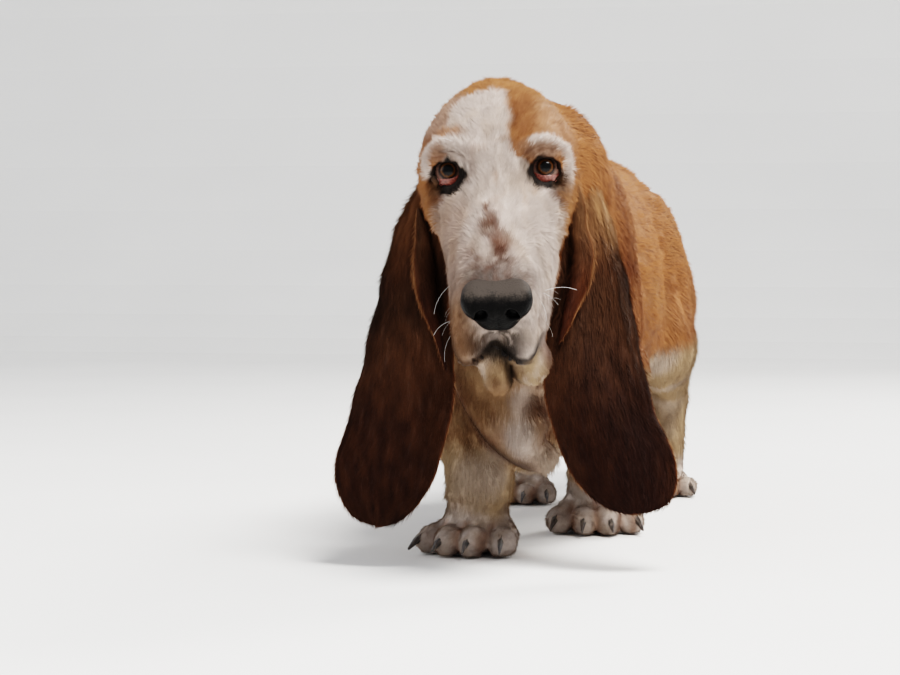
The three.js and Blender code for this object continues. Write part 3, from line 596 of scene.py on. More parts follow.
def net(values, low, cell):
    """A mesh of squares on the grid's zero surface: points and faces, facing outwards."""
    inside = values < 0
    shape = np.array(values.shape)
    total = np.zeros((values.size, 3))
    count = np.zeros(values.size, np.int32)
    strides = np.array((shape[1] * shape[2], shape[2], 1))
    faces = []
    for axis in range(3):
        first = np.take(inside, range(shape[axis] - 1), axis)
        second = np.take(inside, range(1, shape[axis]), axis)
        at = np.argwhere(first != second)
        u, v = (axis + 1) % 3, (axis + 2) % 3
        at = at[(at[:, u] > 0) & (at[:, v] > 0)]
        flat = at @ strides
        a, b = values.ravel()[flat], values.ravel()[flat + strides[axis]]
        point = at.astype(float)
        point[:, axis] += a / (a - b)
        ring = [flat - strides[u] - strides[v], flat - strides[v], flat, flat - strides[u]]
        for cells in ring:
            for k in range(3):
                total[:, k] += np.bincount(cells, point[:, k], values.size)
            count += np.bincount(cells, minlength=values.size).astype(np.int32)
        quads = np.stack(ring, 1)
        outward = inside.ravel()[flat]
        faces.append(np.where(outward[:, None], quads, quads[:, ::-1]))
    faces = np.concatenate(faces)
    used = np.flatnonzero(count)
    index = np.zeros(values.size, np.int32)
    index[used] = np.arange(len(used))
    return low + total[used] / count[used, None] * cell, index[faces]


def mesh_piece(name, points, faces, smooth=True):
    """A linked object made of points in millimetres and faces."""
    data = bpy.data.meshes.new(name)
    faces = faces.tolist() if isinstance(faces, np.ndarray) else faces
    data.from_pydata(to_frame(points).tolist(), [], faces)
    data.polygons.foreach_set("use_smooth", [smooth] * len(data.polygons))
    data.update()
    piece = bpy.data.objects.new(name, data)
    bpy.context.scene.collection.objects.link(piece)
    return piece


def points_of(piece):
    """The piece's points in millimetres round the hound's own zero."""
    flat = np.empty(len(piece.data.vertices) * 3, np.float32)
    piece.data.vertices.foreach_get("co", flat)
    return flat.reshape(-1, 3).astype(float) * 1000 - SHIFT


def set_points(piece, points):
    """Moves the piece's points to new places, in millimetres."""
    piece.data.vertices.foreach_set("co", to_frame(points).astype(np.float32).ravel())
    piece.data.update()


def tube(name, rings, turned_over=False):
    """A closed piece made of rings of points, one to a row, with a face over each end."""
    index = np.arange(rings.shape[0] * rings.shape[1]).reshape(rings.shape[:2])
    after = np.roll(index, -1, 1)
    corners = (index[:-1], index[1:], after[1:], after[:-1])
    ends = [index[0], index[-1][::-1]]
    if turned_over:
        corners = corners[:1] + corners[:0:-1]
        ends = [end[::-1] for end in ends]
    faces = np.stack(corners, -1).reshape(-1, 4).tolist() + [end.tolist() for end in ends]
    return mesh_piece(name, rings.reshape(-1, 3), faces)


def facing_out(piece):
    """Turns the piece's faces outwards."""
    shape = bmesh.new()
    shape.from_mesh(piece.data)
    bmesh.ops.recalc_face_normals(shape, faces=shape.faces)
    shape.to_mesh(piece.data)
    shape.free()


def keep_vectors(piece, name, values):
    """Keeps one vector at each point of the piece, under a name."""
    layer = piece.data.attributes.new(name, "FLOAT_VECTOR", "POINT")
    layer.data.foreach_set("vector", np.asarray(values, np.float32).ravel())


def get_vectors(piece, name):
    """The vectors kept at the piece's points under a name."""
    values = np.empty(len(piece.data.vertices) * 3, np.float32)
    piece.data.attributes[name].data.foreach_get("vector", values)
    return values.reshape(-1, 3).astype(float)


def keep_numbers(piece, name, values):
    """Keeps one number at each point of the piece, under a name."""
    layer = piece.data.attributes.new(name, "FLOAT", "POINT")
    layer.data.foreach_set("value", np.asarray(values, np.float32).ravel())


def get_numbers(piece, name):
    """The numbers kept at the piece's points under a name."""
    values = np.empty(len(piece.data.vertices), np.float32)
    piece.data.attributes[name].data.foreach_get("value", values)
    return values.astype(float)


def keep_colours(piece, colours):
    """Keeps the coat's colour at each point of the piece."""
    layer = piece.data.attributes.new("coat_colour", "FLOAT_COLOR", "POINT")
    full = np.ones((len(colours), 4), np.float32)
    full[:, :3] = np.clip(colours, 0, 1)
    layer.data.foreach_set("color", full.ravel())


def edge_ends(piece):
    """The points at the two ends of each of the piece's edges."""
    edges = np.empty(len(piece.data.edges) * 2, np.int32)
    piece.data.edges.foreach_get("vertices", edges)
    return edges.reshape(-1, 2).T


def split_faces(piece, chosen):
    """Cuts in four the faces whose middles are chosen."""
    shape = bmesh.new()
    shape.from_mesh(piece.data)
    middles = np.array([f.calc_center_median() for f in shape.faces]) * 1000 - SHIFT
    mask = chosen(middles)
    edges = {e for f, hit in zip(shape.faces, mask) if hit for e in f.edges}
    bmesh.ops.subdivide_edges(shape, edges=list(edges), cuts=1, use_grid_fill=True)
    bmesh.ops.triangulate(shape, faces=[f for f in shape.faces if len(f.verts) > 4])
    shape.to_mesh(piece.data)
    shape.free()


def smooth_over(piece, values, rounds, share=0.5):
    """Evens out values kept at points, along the piece's edges."""
    a, b = edge_ends(piece)
    size = len(values)
    count = np.bincount(a, minlength=size) + np.bincount(b, minlength=size)
    for _ in range(rounds):
        total = np.stack(
            [
                np.bincount(a, values[b, k], size) + np.bincount(b, values[a, k], size)
                for k in range(values.shape[1])
            ],
            1,
        )
        values = values * (1 - share) + total / np.maximum(count, 1)[:, None] * share
    return values


LOCK_SPREAD = 0.07  # how much a lock spreads sideways, as a share of along


def locks(piece, points, lie, rounds, seed):
    """Random values drawn out along the lie, by which neighbouring tufts rise together as locks."""
    a, b = edge_ends(piece)
    size = len(points)
    pull = LOCK_SPREAD + (unit(points[b] - points[a]) * unit(lie[a] + lie[b])).sum(1) ** 6
    weight = np.bincount(a, pull, size) + np.bincount(b, pull, size)
    values = np.random.default_rng(seed).normal(size=size)
    for _ in range(rounds):
        total = np.bincount(a, pull * values[b], size) + np.bincount(b, pull * values[a], size)
        values = (values + 2 * total) / (1 + 2 * weight)
    return values / values.std()


# Properties


def length_property(name, default, description, low=0.0, high=1.0):
    return FloatProperty(
        name=name, description=description, default=default, min=low, max=high,
        unit="LENGTH", subtype="DISTANCE", precision=4,
    )


def colour_property(name, default, description):
    return FloatVectorProperty(
        name=name, description=description, default=default, size=3, min=0, max=1, subtype="COLOR",
    )


class HoundBody(bpy.types.PropertyGroup):
    skin_cell: length_property("Skin grid", 0.0044, "Side of the skin's squares on the body", 0.002, 0.01)
    body_depth: length_property("Body coat depth", 0.002, "How far the skin lies inside the body", 0, 0.006)
    face_depth: length_property("Face coat depth", 0.0007, "How far the skin lies inside the face", 0, 0.004)
    iris: length_property("Iris radius", 0.0063, "Radius of the iris", 0.004, 0.01)
    pupil: length_property("Pupil radius", 0.0038, "Radius of the pupil", 0.001, 0.007)
    ear_rim: length_property("Ear thickness", 0.0046, "Thickness of the ear flap", 0.002, 0.008)
    whiskers: IntProperty(
        name="Whiskers", description="Whiskers on each side of the muzzle", default=6, min=0, max=60
    )


class HoundCoat(bpy.types.PropertyGroup):
    density: FloatProperty(
        name="Density", description="Share of the full number of tufts", default=1.0, min=0.05, max=1.2,
        subtype="FACTOR",
    )
    lift: FloatProperty(
        name="Lift", description="Angle at which the tufts leave the skin", default=math.radians(14),
        min=0, max=1.2, unit="ROTATION", subtype="ANGLE",
    )
    ruffle: FloatProperty(
        name="Ruffle", description="How far tufts stray from the lie of the coat", default=0.22, min=0,
        max=1, subtype="FACTOR",
    )
    white: colour_property("White", (0.92, 0.915, 0.91), "Muzzle, blaze and brows")
    cream: colour_property("Cream", (0.59, 0.48, 0.32), "Chest, legs and belly")
    tan: colour_property("Tan", (0.50, 0.245, 0.112), "Neck, back and flanks")
    sand: colour_property("Sand", (0.52, 0.30, 0.15), "Frosted tan of the crown")
    brown: colour_property("Brown", (0.155, 0.050, 0.018), "Dark streaks and patches")
    mahogany: colour_property("Mahogany", (0.015, 0.0056, 0.0038), "Ears")
    soot: colour_property("Soot", (0.009, 0.007, 0.006), "Round the eyes, lips and nose")


class HoundStage(bpy.types.PropertyGroup):
    floor: colour_property("Floor", (0.86, 0.85, 0.83), "The plain floor and backdrop")
    key: FloatProperty(name="Key light", description="Power of the large soft light", default=110,
                       min=0, max=500, unit="POWER")


# Skin

DEPTH_TONE = (0.46, 0.39, 0.35)  # the palette's share of red, green and blue that the body's coat keeps
SKIN_LOW = (-150.0, -360.0, -8.0)  # the corners of the grid that the skin is found on
SKIN_HIGH = (150.0, 672.0, 420.0)
FINEST = (((38, 0, -4), 25), ((-38, 0, -4), 25), ((0, -62, -128), 38))  # the eyes and the mouth


def smooth_step(x, low, high):
    """Rises softly from 0 at low to 1 at high."""
    t = np.clip((x - low) / (high - low), 0, 1)
    return t * t * (3 - 2 * t)


def behind_head(points):
    """How far points lie behind the plane where the head meets the neck."""
    return (HEAD.into(points) - (0, 98, 0)) @ np.array((0, 0.75, -0.66))


def coat_depth(points):
    """How far the skin lies inside the dressed surface: least on the face."""
    props = bpy.context.scene.hound_body
    body, face = props.body_depth * 1000, props.face_depth * 1000
    return face + (body - face) * smooth_step(behind_head(points), -60, 40)


def skin_field(points):
    """The skin's own surface round these points: the body's, inside it by the coat's depth."""
    body = Flesh(points)
    return lambda moved: body(moved) + coat_depth(moved)


def in_head_or_paw(points):
    """The head in front of the neck, and everything near the floor."""
    local = HANG.into(points)
    head = (behind_head(points) < -4) & (np.abs(local[:, 1]) < 130) & (local[:, 2] > -175)
    return head | (points[:, 2] < 48)


def near_features(points):
    """Round the eyes, the lips and the nose, where the skin is finest."""
    local = HANG.into(points)
    close = np.zeros(len(points), bool)
    for centre, radius in FINEST:
        close |= ((local - centre) ** 2).sum(1) < radius**2
    return close


def build_skin():
    """One net over every solid of flesh, finer on the head and paws, settled on the body's surface."""
    cell = bpy.context.scene.hound_body.skin_cell * 1000
    low, high = np.array(SKIN_LOW), np.array(SKIN_HIGH)
    values = grid_values(lambda points: skin_field(points)(points), low, high, cell)
    skin = mesh_piece("skin", *net(values, low, cell))
    split_faces(skin, in_head_or_paw)
    split_faces(skin, near_features)
    points = points_of(skin)
    field = skin_field(points)
    points = settle(field, points, 3)
    points = smooth_over(skin, points, 2)
    points = settle(field, points, 3)
    set_points(skin, points)
    skin.data.polygons.foreach_set("use_smooth", [True] * len(skin.data.polygons))
    keep_colours(skin, coat_paint(points) * DEPTH_TONE)
    return skin


# Ears: sheets that hang from low on the skull, curled like a scroll at the top and flat at the tip.
# Each row is one height of the flap: its middle, its width, the way its front looks in degrees from
# straight ahead, and how far it bends across.

EARS = {
    "ear_right": (
        ((-26, -138, 336), 50, -66, 180),
        ((-44, -148, 306), 80, -56, 180),
        ((-58, -156, 270), 82, -42, 150),
        ((-60, -166, 224), 76, -24, 110),
        ((-59, -170, 178), 84, -12, 84),
        ((-64, -170, 130), 90, -4, 60),
        ((-76, -166, 84), 88, 4, 40),
        ((-84, -160, 36), 74, 8, 20),
    ),
    "ear_left": (
        ((62, -128, 346), 50, 68, 180),
        ((79, -134, 314), 82, 60, 180),
        ((89, -134, 268), 84, 50, 150),
        ((93, -146, 226), 82, 38, 110),
        ((93, -154, 184), 86, 28, 84),
        ((98, -160, 138), 90, 18, 60),
        ((113, -160, 94), 92, 12, 40),
        ((127, -156, 50), 88, 10, 20),
    ),
}


EAR_ROLL = 7.0  # how far the front roll stands out
EAR_CREASE = 6.0  # how deep the crease behind it is
EAR_WAVE = 1.6  # how far the lower flap ripples
EAR_DENSITY = 0.66  # tufts in each square millimetre of an ear
EAR_LOCKS = 6  # rounds of drawing out

# Where an ear's pieces lie on the map that their colours are painted and baked on
FRONT_LEFT = 0.25
FRONT_WIDTH = 0.2
BACK_AT = 2.2  # the back follows the front, in widths of it
ROLL_LEFT = 0.1
ROLL_AROUND = 0.8
ROLL_DOWN = 0.62


def eased(values, share):
    """Eases a size from row to row."""
    values = np.array(values, float)
    at = share * (len(values) - 1)
    i = np.minimum(len(values) - 2, at.astype(int))
    return values[i] + (values[i + 1] - values[i]) * smooth_step(at - i, 0, 1)


def closing(v, start=0.8):
    """The tip is round: the width closes over the last part of the length."""
    over = np.clip((v - start) / (1 - start), 0, 1)
    return 0.02 + 0.98 * (1 - over**3.0) ** (1 / 2.3)


def ear_sheet(rows, across, down):
    """The flap's middle surface as a grid of points, and the way it faces."""
    v = 1 - (1 - np.linspace(0, 1, down + 1)) ** 1.35
    u = np.linspace(0, 1, across + 1)
    at, wide, facing, curl = zip(*rows)
    bend = np.radians(np.maximum(1, eased(curl, v)))[:, None]
    facing = np.radians(eased(facing, v))[:, None]
    radius = (eased(wide, v) * closing(v))[:, None] / bend
    turn = (u - 0.5) * bend
    middle = (1 - np.sin(bend / 2) / (bend / 2)) * 0.5
    back = (1 - np.cos(turn) - middle) * radius
    out = np.sin(turn) * radius
    side = np.stack((np.cos(facing), np.sin(facing), 0 * facing), -1)
    front = np.stack((np.sin(facing), -np.cos(facing), 0 * facing), -1)
    points = curve_through(at, v)[:, None, :] + side * out[..., None] - front * back[..., None]
    normal = sheet_normal(points)
    inward = u[None, :] if rows[0][0][0] > 0 else 1 - u[None, :]  # from the front margin, 0 to 1
    v = v[:, None]
    there = smooth_step(v, 0.0, 0.1) * (1 - smooth_step(v, 0.4, 0.62))
    crease = 0.42 - 0.42 * smooth_step(v, 0.05, 0.62)
    roll = np.exp(-(((inward - crease + 0.17) / 0.13) ** 2))
    valley = np.exp(-(((inward - crease) / 0.05) ** 2))
    lift = there * (EAR_ROLL * roll - EAR_CREASE * valley)
    lift = lift + EAR_WAVE * np.sin(6.5 * v + 5 * inward) * smooth_step(v, 0.3, 0.7)
    points = points + normal * lift[..., None]
    return points, sheet_normal(points)


def sheet_normal(points):
    """The way that a grid of points faces at each of them."""
    normal = np.cross(np.gradient(points, axis=0), np.gradient(points, axis=1))
    return normal / np.maximum(np.linalg.norm(normal, axis=2, keepdims=True), 1e-9)


def keep_map(piece, across, down):
    """Keeps each point's place on the ear's map."""
    flat = np.stack(np.broadcast_arrays(across[None, :], down[:, None]), -1)
    keep_vectors(piece, "sheet_place", np.concatenate((flat, np.zeros((*flat.shape[:2], 1))), -1))


def dress_ear(piece, points, colours, inner, lie, long):
    """Keeps an ear's colours, which points are on its inside, and the lie and sizes of its coat."""
    keep_colours(piece, colours)
    keep_numbers(piece, "ear_inner", inner)
    keep_vectors(piece, "lie", lie)
    keep_numbers(piece, "lock", locks(piece, points, lie, EAR_LOCKS, 4))
    keep_numbers(piece, "coat_length", long / 1000)
    keep_numbers(piece, "coat_width", (0.2 + 0.075 * long) / 1000)


def build_ear(name, across=64, down=170):
    """A closed flap with round edges: its front, its rim and its back go round as one ring."""
    thick = bpy.context.scene.hound_body.ear_rim * 1000
    points, normal = ear_sheet(EARS[name], across, down)
    u = np.linspace(-1, 1, across + 1)
    v = np.linspace(0, 1, down + 1)
    half = thick / 2 * np.sqrt(1 - np.abs(u) ** 7)[None, :] * np.sqrt(1 - v**26)[:, None] + 0.02
    front = points + normal * half[..., None]
    back = points - normal * half[..., None]
    rings = np.concatenate((front, back[:, ::-1]), 1)
    ear = tube(name + "_flap", rings)
    there = (u + 1) / 2
    keep_map(ear, np.concatenate((there, there[::-1] + BACK_AT)) * FRONT_WIDTH + FRONT_LEFT, v)
    points = rings.reshape(-1, 3)
    inner = np.tile(np.arange(rings.shape[1]) > across, len(rings)).astype(float)
    share = np.repeat(v, rings.shape[1])
    long = 7.0 + 2.5 * (1 - smooth_step(share, 0.1, 0.5))
    long = long * (1 - 0.35 * smooth_step(share, 0.93, 1.0))
    colours = ear_paint(points, get_vectors(ear, "sheet_place"), inner)
    dress_ear(ear, points, colours, inner, unit(np.gradient(rings, axis=0).reshape(-1, 3)), long)
    return ear


# The roll of each ear's front margin: places down its length, each with half its width

ROLLS = {
    "ear_right": (
        (-46.0, -178, 292, 3.0),
        (-42.5, -177, 268, 6.2),
        (-41.5, -178, 250, 8.6),
        (-40.3, -180, 233, 8.8),
        (-35.7, -181, 211, 6.2),
        (-29.5, -178, 188, 3.2),
        (-24.5, -175, 164, 1.2),
    ),
    "ear_left": (
        (79.0, -170, 313, 3.0),
        (80.5, -163, 293, 5.4),
        (80.3, -157, 274, 7.2),
        (84.0, -157, 254, 8.6),
        (81.6, -161, 233, 7.8),
        (74.7, -168, 209, 5.2),
        (67.6, -171, 187, 2.2),
    ),
}


def build_roll(name, along=90, around=28):
    """The fold that stands in front of the flap, broad at the top and dying out down its margin."""
    v = np.linspace(0, 1, along)
    measures = curve_through(ROLLS[name], v)
    line = measures[:, :3]
    half = np.maximum(measures[:, 3], 0.4) * np.sqrt(1 - (2 * v - 1) ** 8)
    down = unit(np.gradient(line, axis=0))
    ahead = unit(np.cross(down, camera_frame()[1]))
    side = unit(np.cross(ahead, down))
    a = np.linspace(0, 2 * math.pi, around, endpoint=False)
    out = 1 if name == "ear_left" else -1
    width = half[:, None] * np.cos(a)
    depth = half[:, None] * np.sin(a) * (0.78 - 0.2 * out * np.cos(a))
    rings = line[:, None, :] + side[:, None, :] * width[..., None] + ahead[:, None, :] * depth[..., None]
    roll = tube(name + "_roll", rings, turned_over=True)
    facing_out(roll)
    keep_map(roll, a / (2 * math.pi) * ROLL_AROUND + ROLL_LEFT, ROLL_DOWN * v)
    points = points_of(roll)
    colours = roll_paint(points, get_vectors(roll, "sheet_place"))
    long = np.repeat(5.0 + 0.25 * half, around)
    dress_ear(roll, points, colours, np.zeros(len(points)), np.repeat(down, around, 0), long)
    return roll


# Eyes

CORNEA = 0.9  # how far the clear front of the eye bulges


def build_eye(side, name):
    """A ball with a bulging cornea, looking just over the camera, with its own measure at its points."""
    iris = bpy.context.scene.hound_body.iris * 1000
    centre = HANG.out((side * EYE_APART, 0, 0))
    gaze = camera_frame()[0] + (0, 0, GAZE_RISE) - centre
    gaze /= np.linalg.norm(gaze)
    across = unit(np.cross((0, 0, 1.0), gaze)[None])[0]
    turn = np.stack((across, np.cross(gaze, across), gaze), 1)
    polar = np.concatenate((np.linspace(0.02, 0.95, 46), np.linspace(0.99, math.pi - 0.05, 26)))
    around = np.linspace(0, 2 * math.pi, 96, endpoint=False)
    a, b = np.meshgrid(polar, around, indexing="ij")
    out = np.stack((np.sin(a) * np.cos(b), np.sin(a) * np.sin(b), np.cos(a)), -1)
    edge = math.asin(iris / EYE_RADIUS)
    bulge = CORNEA * np.clip(1 - (a / (edge * 1.15)) ** 2, 0, 1) ** 1.2
    local = out * (EYE_RADIUS - 0.3 + bulge)[..., None]
    eye = tube(name + "_ball", centre + local @ turn.T)
    keep_vectors(eye, "eye_place", local)
    return eye


def build_haw(side, name, along=44, across=12):
    """The red lining that the drooping lower lid shows, from the ball out to the lid's margin."""
    a = np.linspace(0.03, 0.97, along)[:, None] * math.pi
    w = np.linspace(0, 1, across)[None, :]
    inner_end = smooth_step(-side * np.cos(a), 0.1, 1.0)
    outer_end = smooth_step(side * np.cos(a), 0.0, 1.0)
    top = -np.sin(a) * (5.6 + 1.5 * outer_end) + inner_end * 1.6
    low = -np.sin(a) * 13.6
    x = np.cos(a) * 12.4 + 0 * w
    z = top + (low - top) * w
    lift = 12.35 + 0.7 * np.sin(w * math.pi * 0.5) + 0.8 * w**2
    y = -np.sqrt(np.maximum(lift**2 - x**2 - z**2, 4))
    outer = np.stack((side * EYE_APART + x, y, z), -1)
    under = outer + (0, 2.4, 0.2)
    return tube(name + "_haw", HANG.out(np.concatenate((outer, under[:, ::-1]), 1)), turned_over=True)


# Nose


def build_nose(cell=1.0, reach=42):
    """The nose leather on a fine grid of its own, with how far each point is to its top, which is dry and is
    painted lighter as lit from above.
    """
    middle = NOSE.out((0, 0, 0))
    low, high = middle - reach, middle + reach
    forms = nose_forms()

    def field(points):
        value = np.full(len(points), FAR)
        for form in forms:
            d = form.distance(form.place.into(points))
            value = -soften(-value, d, form.blend) if form.cuts else soften(value, d, form.blend)
        return value

    points, faces = net(grid_values(field, low, high, cell), low, cell)
    nose = mesh_piece("nose_leather", points, faces)
    points = settle(field, points_of(nose), 3)
    set_points(nose, points)
    local = NOSE.into(points)
    # The top is where the leather faces up. It is greyer there, partly as dry leather and partly as painted
    # light.
    top = smooth_step(local[:, 2] + 0.45 * local[:, 1] + 2.0 * noise(points, 4, 31), -3, 14)
    keep_numbers(nose, "nose_top", top)
    return nose


# Markings, with painted light and shade: what colour is painted on the coat at each place


def noise(points, size, seed=0):
    """Soft random values from -1 to 1 that change over about size millimetres."""
    at = np.asarray(points) / size + seed * 17.31 + 900
    base = np.floor(at).astype(np.int64)
    t = at - base
    t = t * t * (3 - 2 * t)
    total = np.zeros(len(at))
    for step in np.ndindex(2, 2, 2):
        key = ((base + step) * (73856093, 19349663, 83492791)).sum(1) & 0x7FFFFFFF
        key = (key ^ (key >> 13)) * 1274126177 & 0x7FFFFFFF
        value = ((key ^ (key >> 16)) % 10007) / 5003.5 - 1
        total += value * np.where(step, t, 1 - t).prod(1)
    return total


def spot(points, at, radii, soft=0.45):
    """1 inside an egg, fading to 0 across its rim."""
    r = np.sqrt((((points - at) / radii) ** 2).sum(1))
    return 1 - smooth_step(r, 1 - soft, 1 + soft)


def stripe(points, line, half, soft=0.5):
    """1 along a line of X and Z places on the face, fading to 0 past half its width."""
    flat = points[:, [0, 2]]
    near = np.full(len(flat), np.inf)
    line = np.array(line, float)
    for a, b in zip(line, line[1:]):
        along = b - a
        t = np.clip((flat - a) @ along / (along @ along), 0, 1)
        near = np.minimum(near, np.linalg.norm(flat - a - t[:, None] * along, axis=1))
    return 1 - smooth_step(near / half, 1 - soft, 1 + soft)


def between(values, low, high, soft):
    """1 from low to high, fading over soft to each side of both ends."""
    return smooth_step(values, low - soft, low + soft) * (1 - smooth_step(values, high - soft, high + soft))


PALETTE = ("white", "cream", "tan", "sand", "brown", "mahogany", "soot")


class Paint:
    """Colours laid one over another at points, each with how much of it shows there."""

    def __init__(self, points, base="tan"):
        props = bpy.context.scene.hound_coat
        self.shades = {name: np.array(getattr(props, name)) for name in PALETTE}
        self.colour = np.tile(self.shades[base], (len(points), 1))

    def lay(self, name, mask):
        mask = np.clip(mask, 0, 1)
        self.colour += (self.shades[name] - self.colour) * mask[:, None]


# Markings of the body, with some painted shade, by places round the hound's own zero


def paint_back(paint, points, wave, along):
    """Dark streaks and a darker line over the back."""
    y, z = points.T[1:]
    paint.lay("brown", 0.36 * smooth_step(noise(along, 30, 3) + 0.5 * noise(along, 9, 4), 0.05, 1.1))
    paint.lay("brown", 0.5 * smooth_step(z + wave, 330, 366) * smooth_step(y, -20, 60))
    paint.lay("sand", 0.1 * smooth_step(noise(along, 22, 5), 0.1, 0.9))


def paint_underside(paint, points, wave):
    """Cream below a line that rises to the haunch, and on the middle of the chest."""
    x, y, z = points.T
    hem = 156 + 12 * smooth_step(y, 300, 420)
    hem = hem - 40 * between(y, -120, -20, 20) * smooth_step(np.abs(x), 40, 80)
    low = 1 - smooth_step(z + wave * 0.7, hem - 7, hem + 7)
    chest = (1 - smooth_step(y + wave, -60, 20)) * (1 - smooth_step(z + wave, 190, 214))
    cream = np.maximum(low, chest * (1 - smooth_step(np.abs(x - 8) + wave * 0.5, 44, 58)))
    flecks = smooth_step(noise(points, 7, 7) + 0.5 * noise(points, 30, 8), 0.35, 0.9)
    paint.lay("cream", cream)
    paint.lay("white", cream * 0.5 * smooth_step(noise(points, 34, 6), -0.2, 0.7))
    paint.lay("brown", cream * 0.3 * flecks)
    return cream


def paint_chest(paint, points, cream):
    """A darker bib with white on the breastbone, and the shadow where the chest hangs over the leg."""
    y, z = points.T[1:]
    bib = cream * (y < -20) * smooth_step(z, 84, 100)
    mottle = smooth_step(noise(points, 17, 9) + 0.4 * noise(points, 6, 10), -0.3, 0.7)
    paint.lay("sand", 0.35 * bib)
    paint.lay("brown", 0.42 * bib * mottle)
    paint.lay("white", 0.8 * spot(points, (20, -78, 104), (13, 40, 19)))
    paint.lay("white", 0.6 * spot(points, (20, -80, 134), (9, 40, 12)))
    paint.lay("brown", 0.6 * spot(points, (35, -66, 128), (13, 40, 9), 0.7))
    paint.lay("brown", 0.6 * spot(points, (40, -46, 108), (8, 40, 6), 0.7))
    paint.lay("brown", 0.5 * stripe(points, HEM_MARK, 9, 0.9) * (y < -30))
    paint.lay("soot", 0.55 * stripe(points, HEM_MARK, 4, 0.9) * (y < -30))


def paint_shoulder(paint, points, wave):
    """A dark band behind the head, and painted shade down the left shoulder behind the ear."""
    x, y, z = points.T
    nape = smooth_step(x, 30, 56) * smooth_step(z, 240, 290)
    paint.lay("brown", 0.55 * nape * between(behind_head(points) + 0.3 * wave, 10, 30, 8))
    # Painted shade down the left shoulder, behind the ear.
    shoulder_shade = smooth_step(x, 54, 76) * between(y + wave, -52, -20, 12)
    paint.lay("brown", 0.5 * shoulder_shade * between(z, 215, 330, 20))
    paint.lay("brown", 0.6 * spot(points, (103, -30, 246), (14, 22, 11), 0.7))


def paint_paws(paint, points, wave):
    """White toes with tan between them, painted shade low in the gaps, and black pads."""
    z = points[:, 2]
    toe = 1 - smooth_step(z + wave, 26, 50)
    paint.lay("white", toe)
    paint.lay("cream", 0.3 * toe * smooth_step(noise(points, 9, 26), -0.8, 0.6))
    for leg in LEGS:
        across, along = leg.foot.into(points).T[:2]
        for place, _, _ in list(leg.toes())[:-1]:
            gap = place + leg.width / 8
            seam = between(across, gap - 2.5, gap + 2.5, 3.5) * (along < 0) * (z < 30)
            seam = seam * smooth_step(-along, -4, 14)
            # Tan hair between the toes, and brown low in the gaps as painted shade.
            paint.lay("tan", 0.5 * seam)
            paint.lay("brown", 0.3 * seam * (1 - smooth_step(z, 8, 22)))
    paint.lay("soot", 1 - smooth_step(z, 0.4, 2.2))


def paint_body(paint, points):
    """Tan above, cream below, on the chest and legs, and at the tail's tip."""
    wave = 12 * noise(points, 46, 1) + 5 * noise(points, 14, 2)
    along = points * (1, 0.35, 1)
    paint_back(paint, points, wave, along)
    cream = paint_underside(paint, points, wave)
    paint_chest(paint, points, cream)
    paint_shoulder(paint, points, wave)
    flank = (1 - cream) * smooth_step(points[:, 1], 20, 90)
    paint.lay("sand", 0.35 * flank * smooth_step(noise(along, 16, 12), 0.1, 0.8))
    paint_paws(paint, points, wave)


# Markings of the face, with some painted shade, by places from the middle between the eyes: X to the hound's
# left, Z up

BLAZE_HEIGHTS = (-12, 12, 34, 46, 54, 59, 62)
BLAZE_LEFT = (-50, -37, -38, -35, -28, -19, -5)
BLAZE_RIGHT = (50, 11, 10, 9.5, 8, 6.5, 5)
BROW_ROLLS = (
    ((-27, 18), (-36, 23), (-46, 23), (-52, 17), (-54, 7), (-53, -2)),
    ((28, 20), (36, 22), (45, 20), (53, 14), (56, 2), (53, -14), (51, -22)),
)
BROW_STREAK = ((-58, 18), (-46, 24.5), (-37, 29), (-28, 30))
FLANK_STREAKS = ((-17, 16), (-17.5, 4), (-16, -4))
LIP_MARKS = [[(x, z) for x, _, z in line] for line in LIPS]
# Painted shade along the crease between the chin and the lower lip's fold, by X and Z
CHIN_CREASE_SHADE = ((3, -141), (4, -150), (6.5, -159), (11, -168))


class Face:
    """Places on the face, with the soft random values and the front that its markings share."""

    def __init__(self, points):
        self.points = points
        self.wave = 2.4 * noise(points, 11, 11) + 1.2 * noise(points, 4, 12)
        self.fine = noise(points, 3.4, 13)
        self.front = 1 - smooth_step(points[:, 1] + self.wave, 22, 44)

    def blaze(self):
        """1 on the white of the forehead, between the eyes and over the whole muzzle."""
        x, y, z = self.points.T
        left, right = (np.interp(z, BLAZE_HEIGHTS, edge) for edge in (BLAZE_LEFT, BLAZE_RIGHT))
        inside = smooth_step(x + self.wave, left - 3, left + 3)
        inside = inside * (1 - smooth_step(x + self.wave, right - 3, right + 3))
        muzzle = 1 - smooth_step(y + self.wave - 0.28 * (z + 60), 4, 22)
        return inside * (1 - smooth_step(z + self.wave, 60, 65)) * np.where(z > -10, 1, muzzle)


def paint_crown(paint, face):
    """Frosted tan on the crown, tan cheeks, and the darker patch beside the blaze."""
    x, y, z = face.points.T
    front, fine = face.front, face.fine
    paint.lay("sand", 0.5 * (1 - smooth_step(y + 3 * face.wave, 40, 80)) * smooth_step(z, -30, 10))
    paint.lay("tan", 0.75 * smooth_step(np.abs(x) + face.wave, 40, 58) * (1 - smooth_step(z, 30, 60)))
    paint.lay("tan", 0.55 * smooth_step(noise(face.points, 16, 14) + 0.4 * fine, 0.0, 0.9))
    beside = front * between(x, 9, 27, 7) * between(z, -6, 58, 9)
    paint.lay("brown", 0.5 * beside * smooth_step(fine, -1, 0.5))
    paint.lay("brown", 0.25 * spot(face.points, (18, 0, 38), (11, 60, 16), 0.8))
    paint.lay("white", 0.14 * front * smooth_step(x, 24, 42) * between(z, 16, 60, 10))
    frost = front * between(x, -60, -24, 6) * between(z, 20, 60, 8)
    paint.lay("white", 0.4 * frost)
    paint.lay("brown", 0.22 * frost)


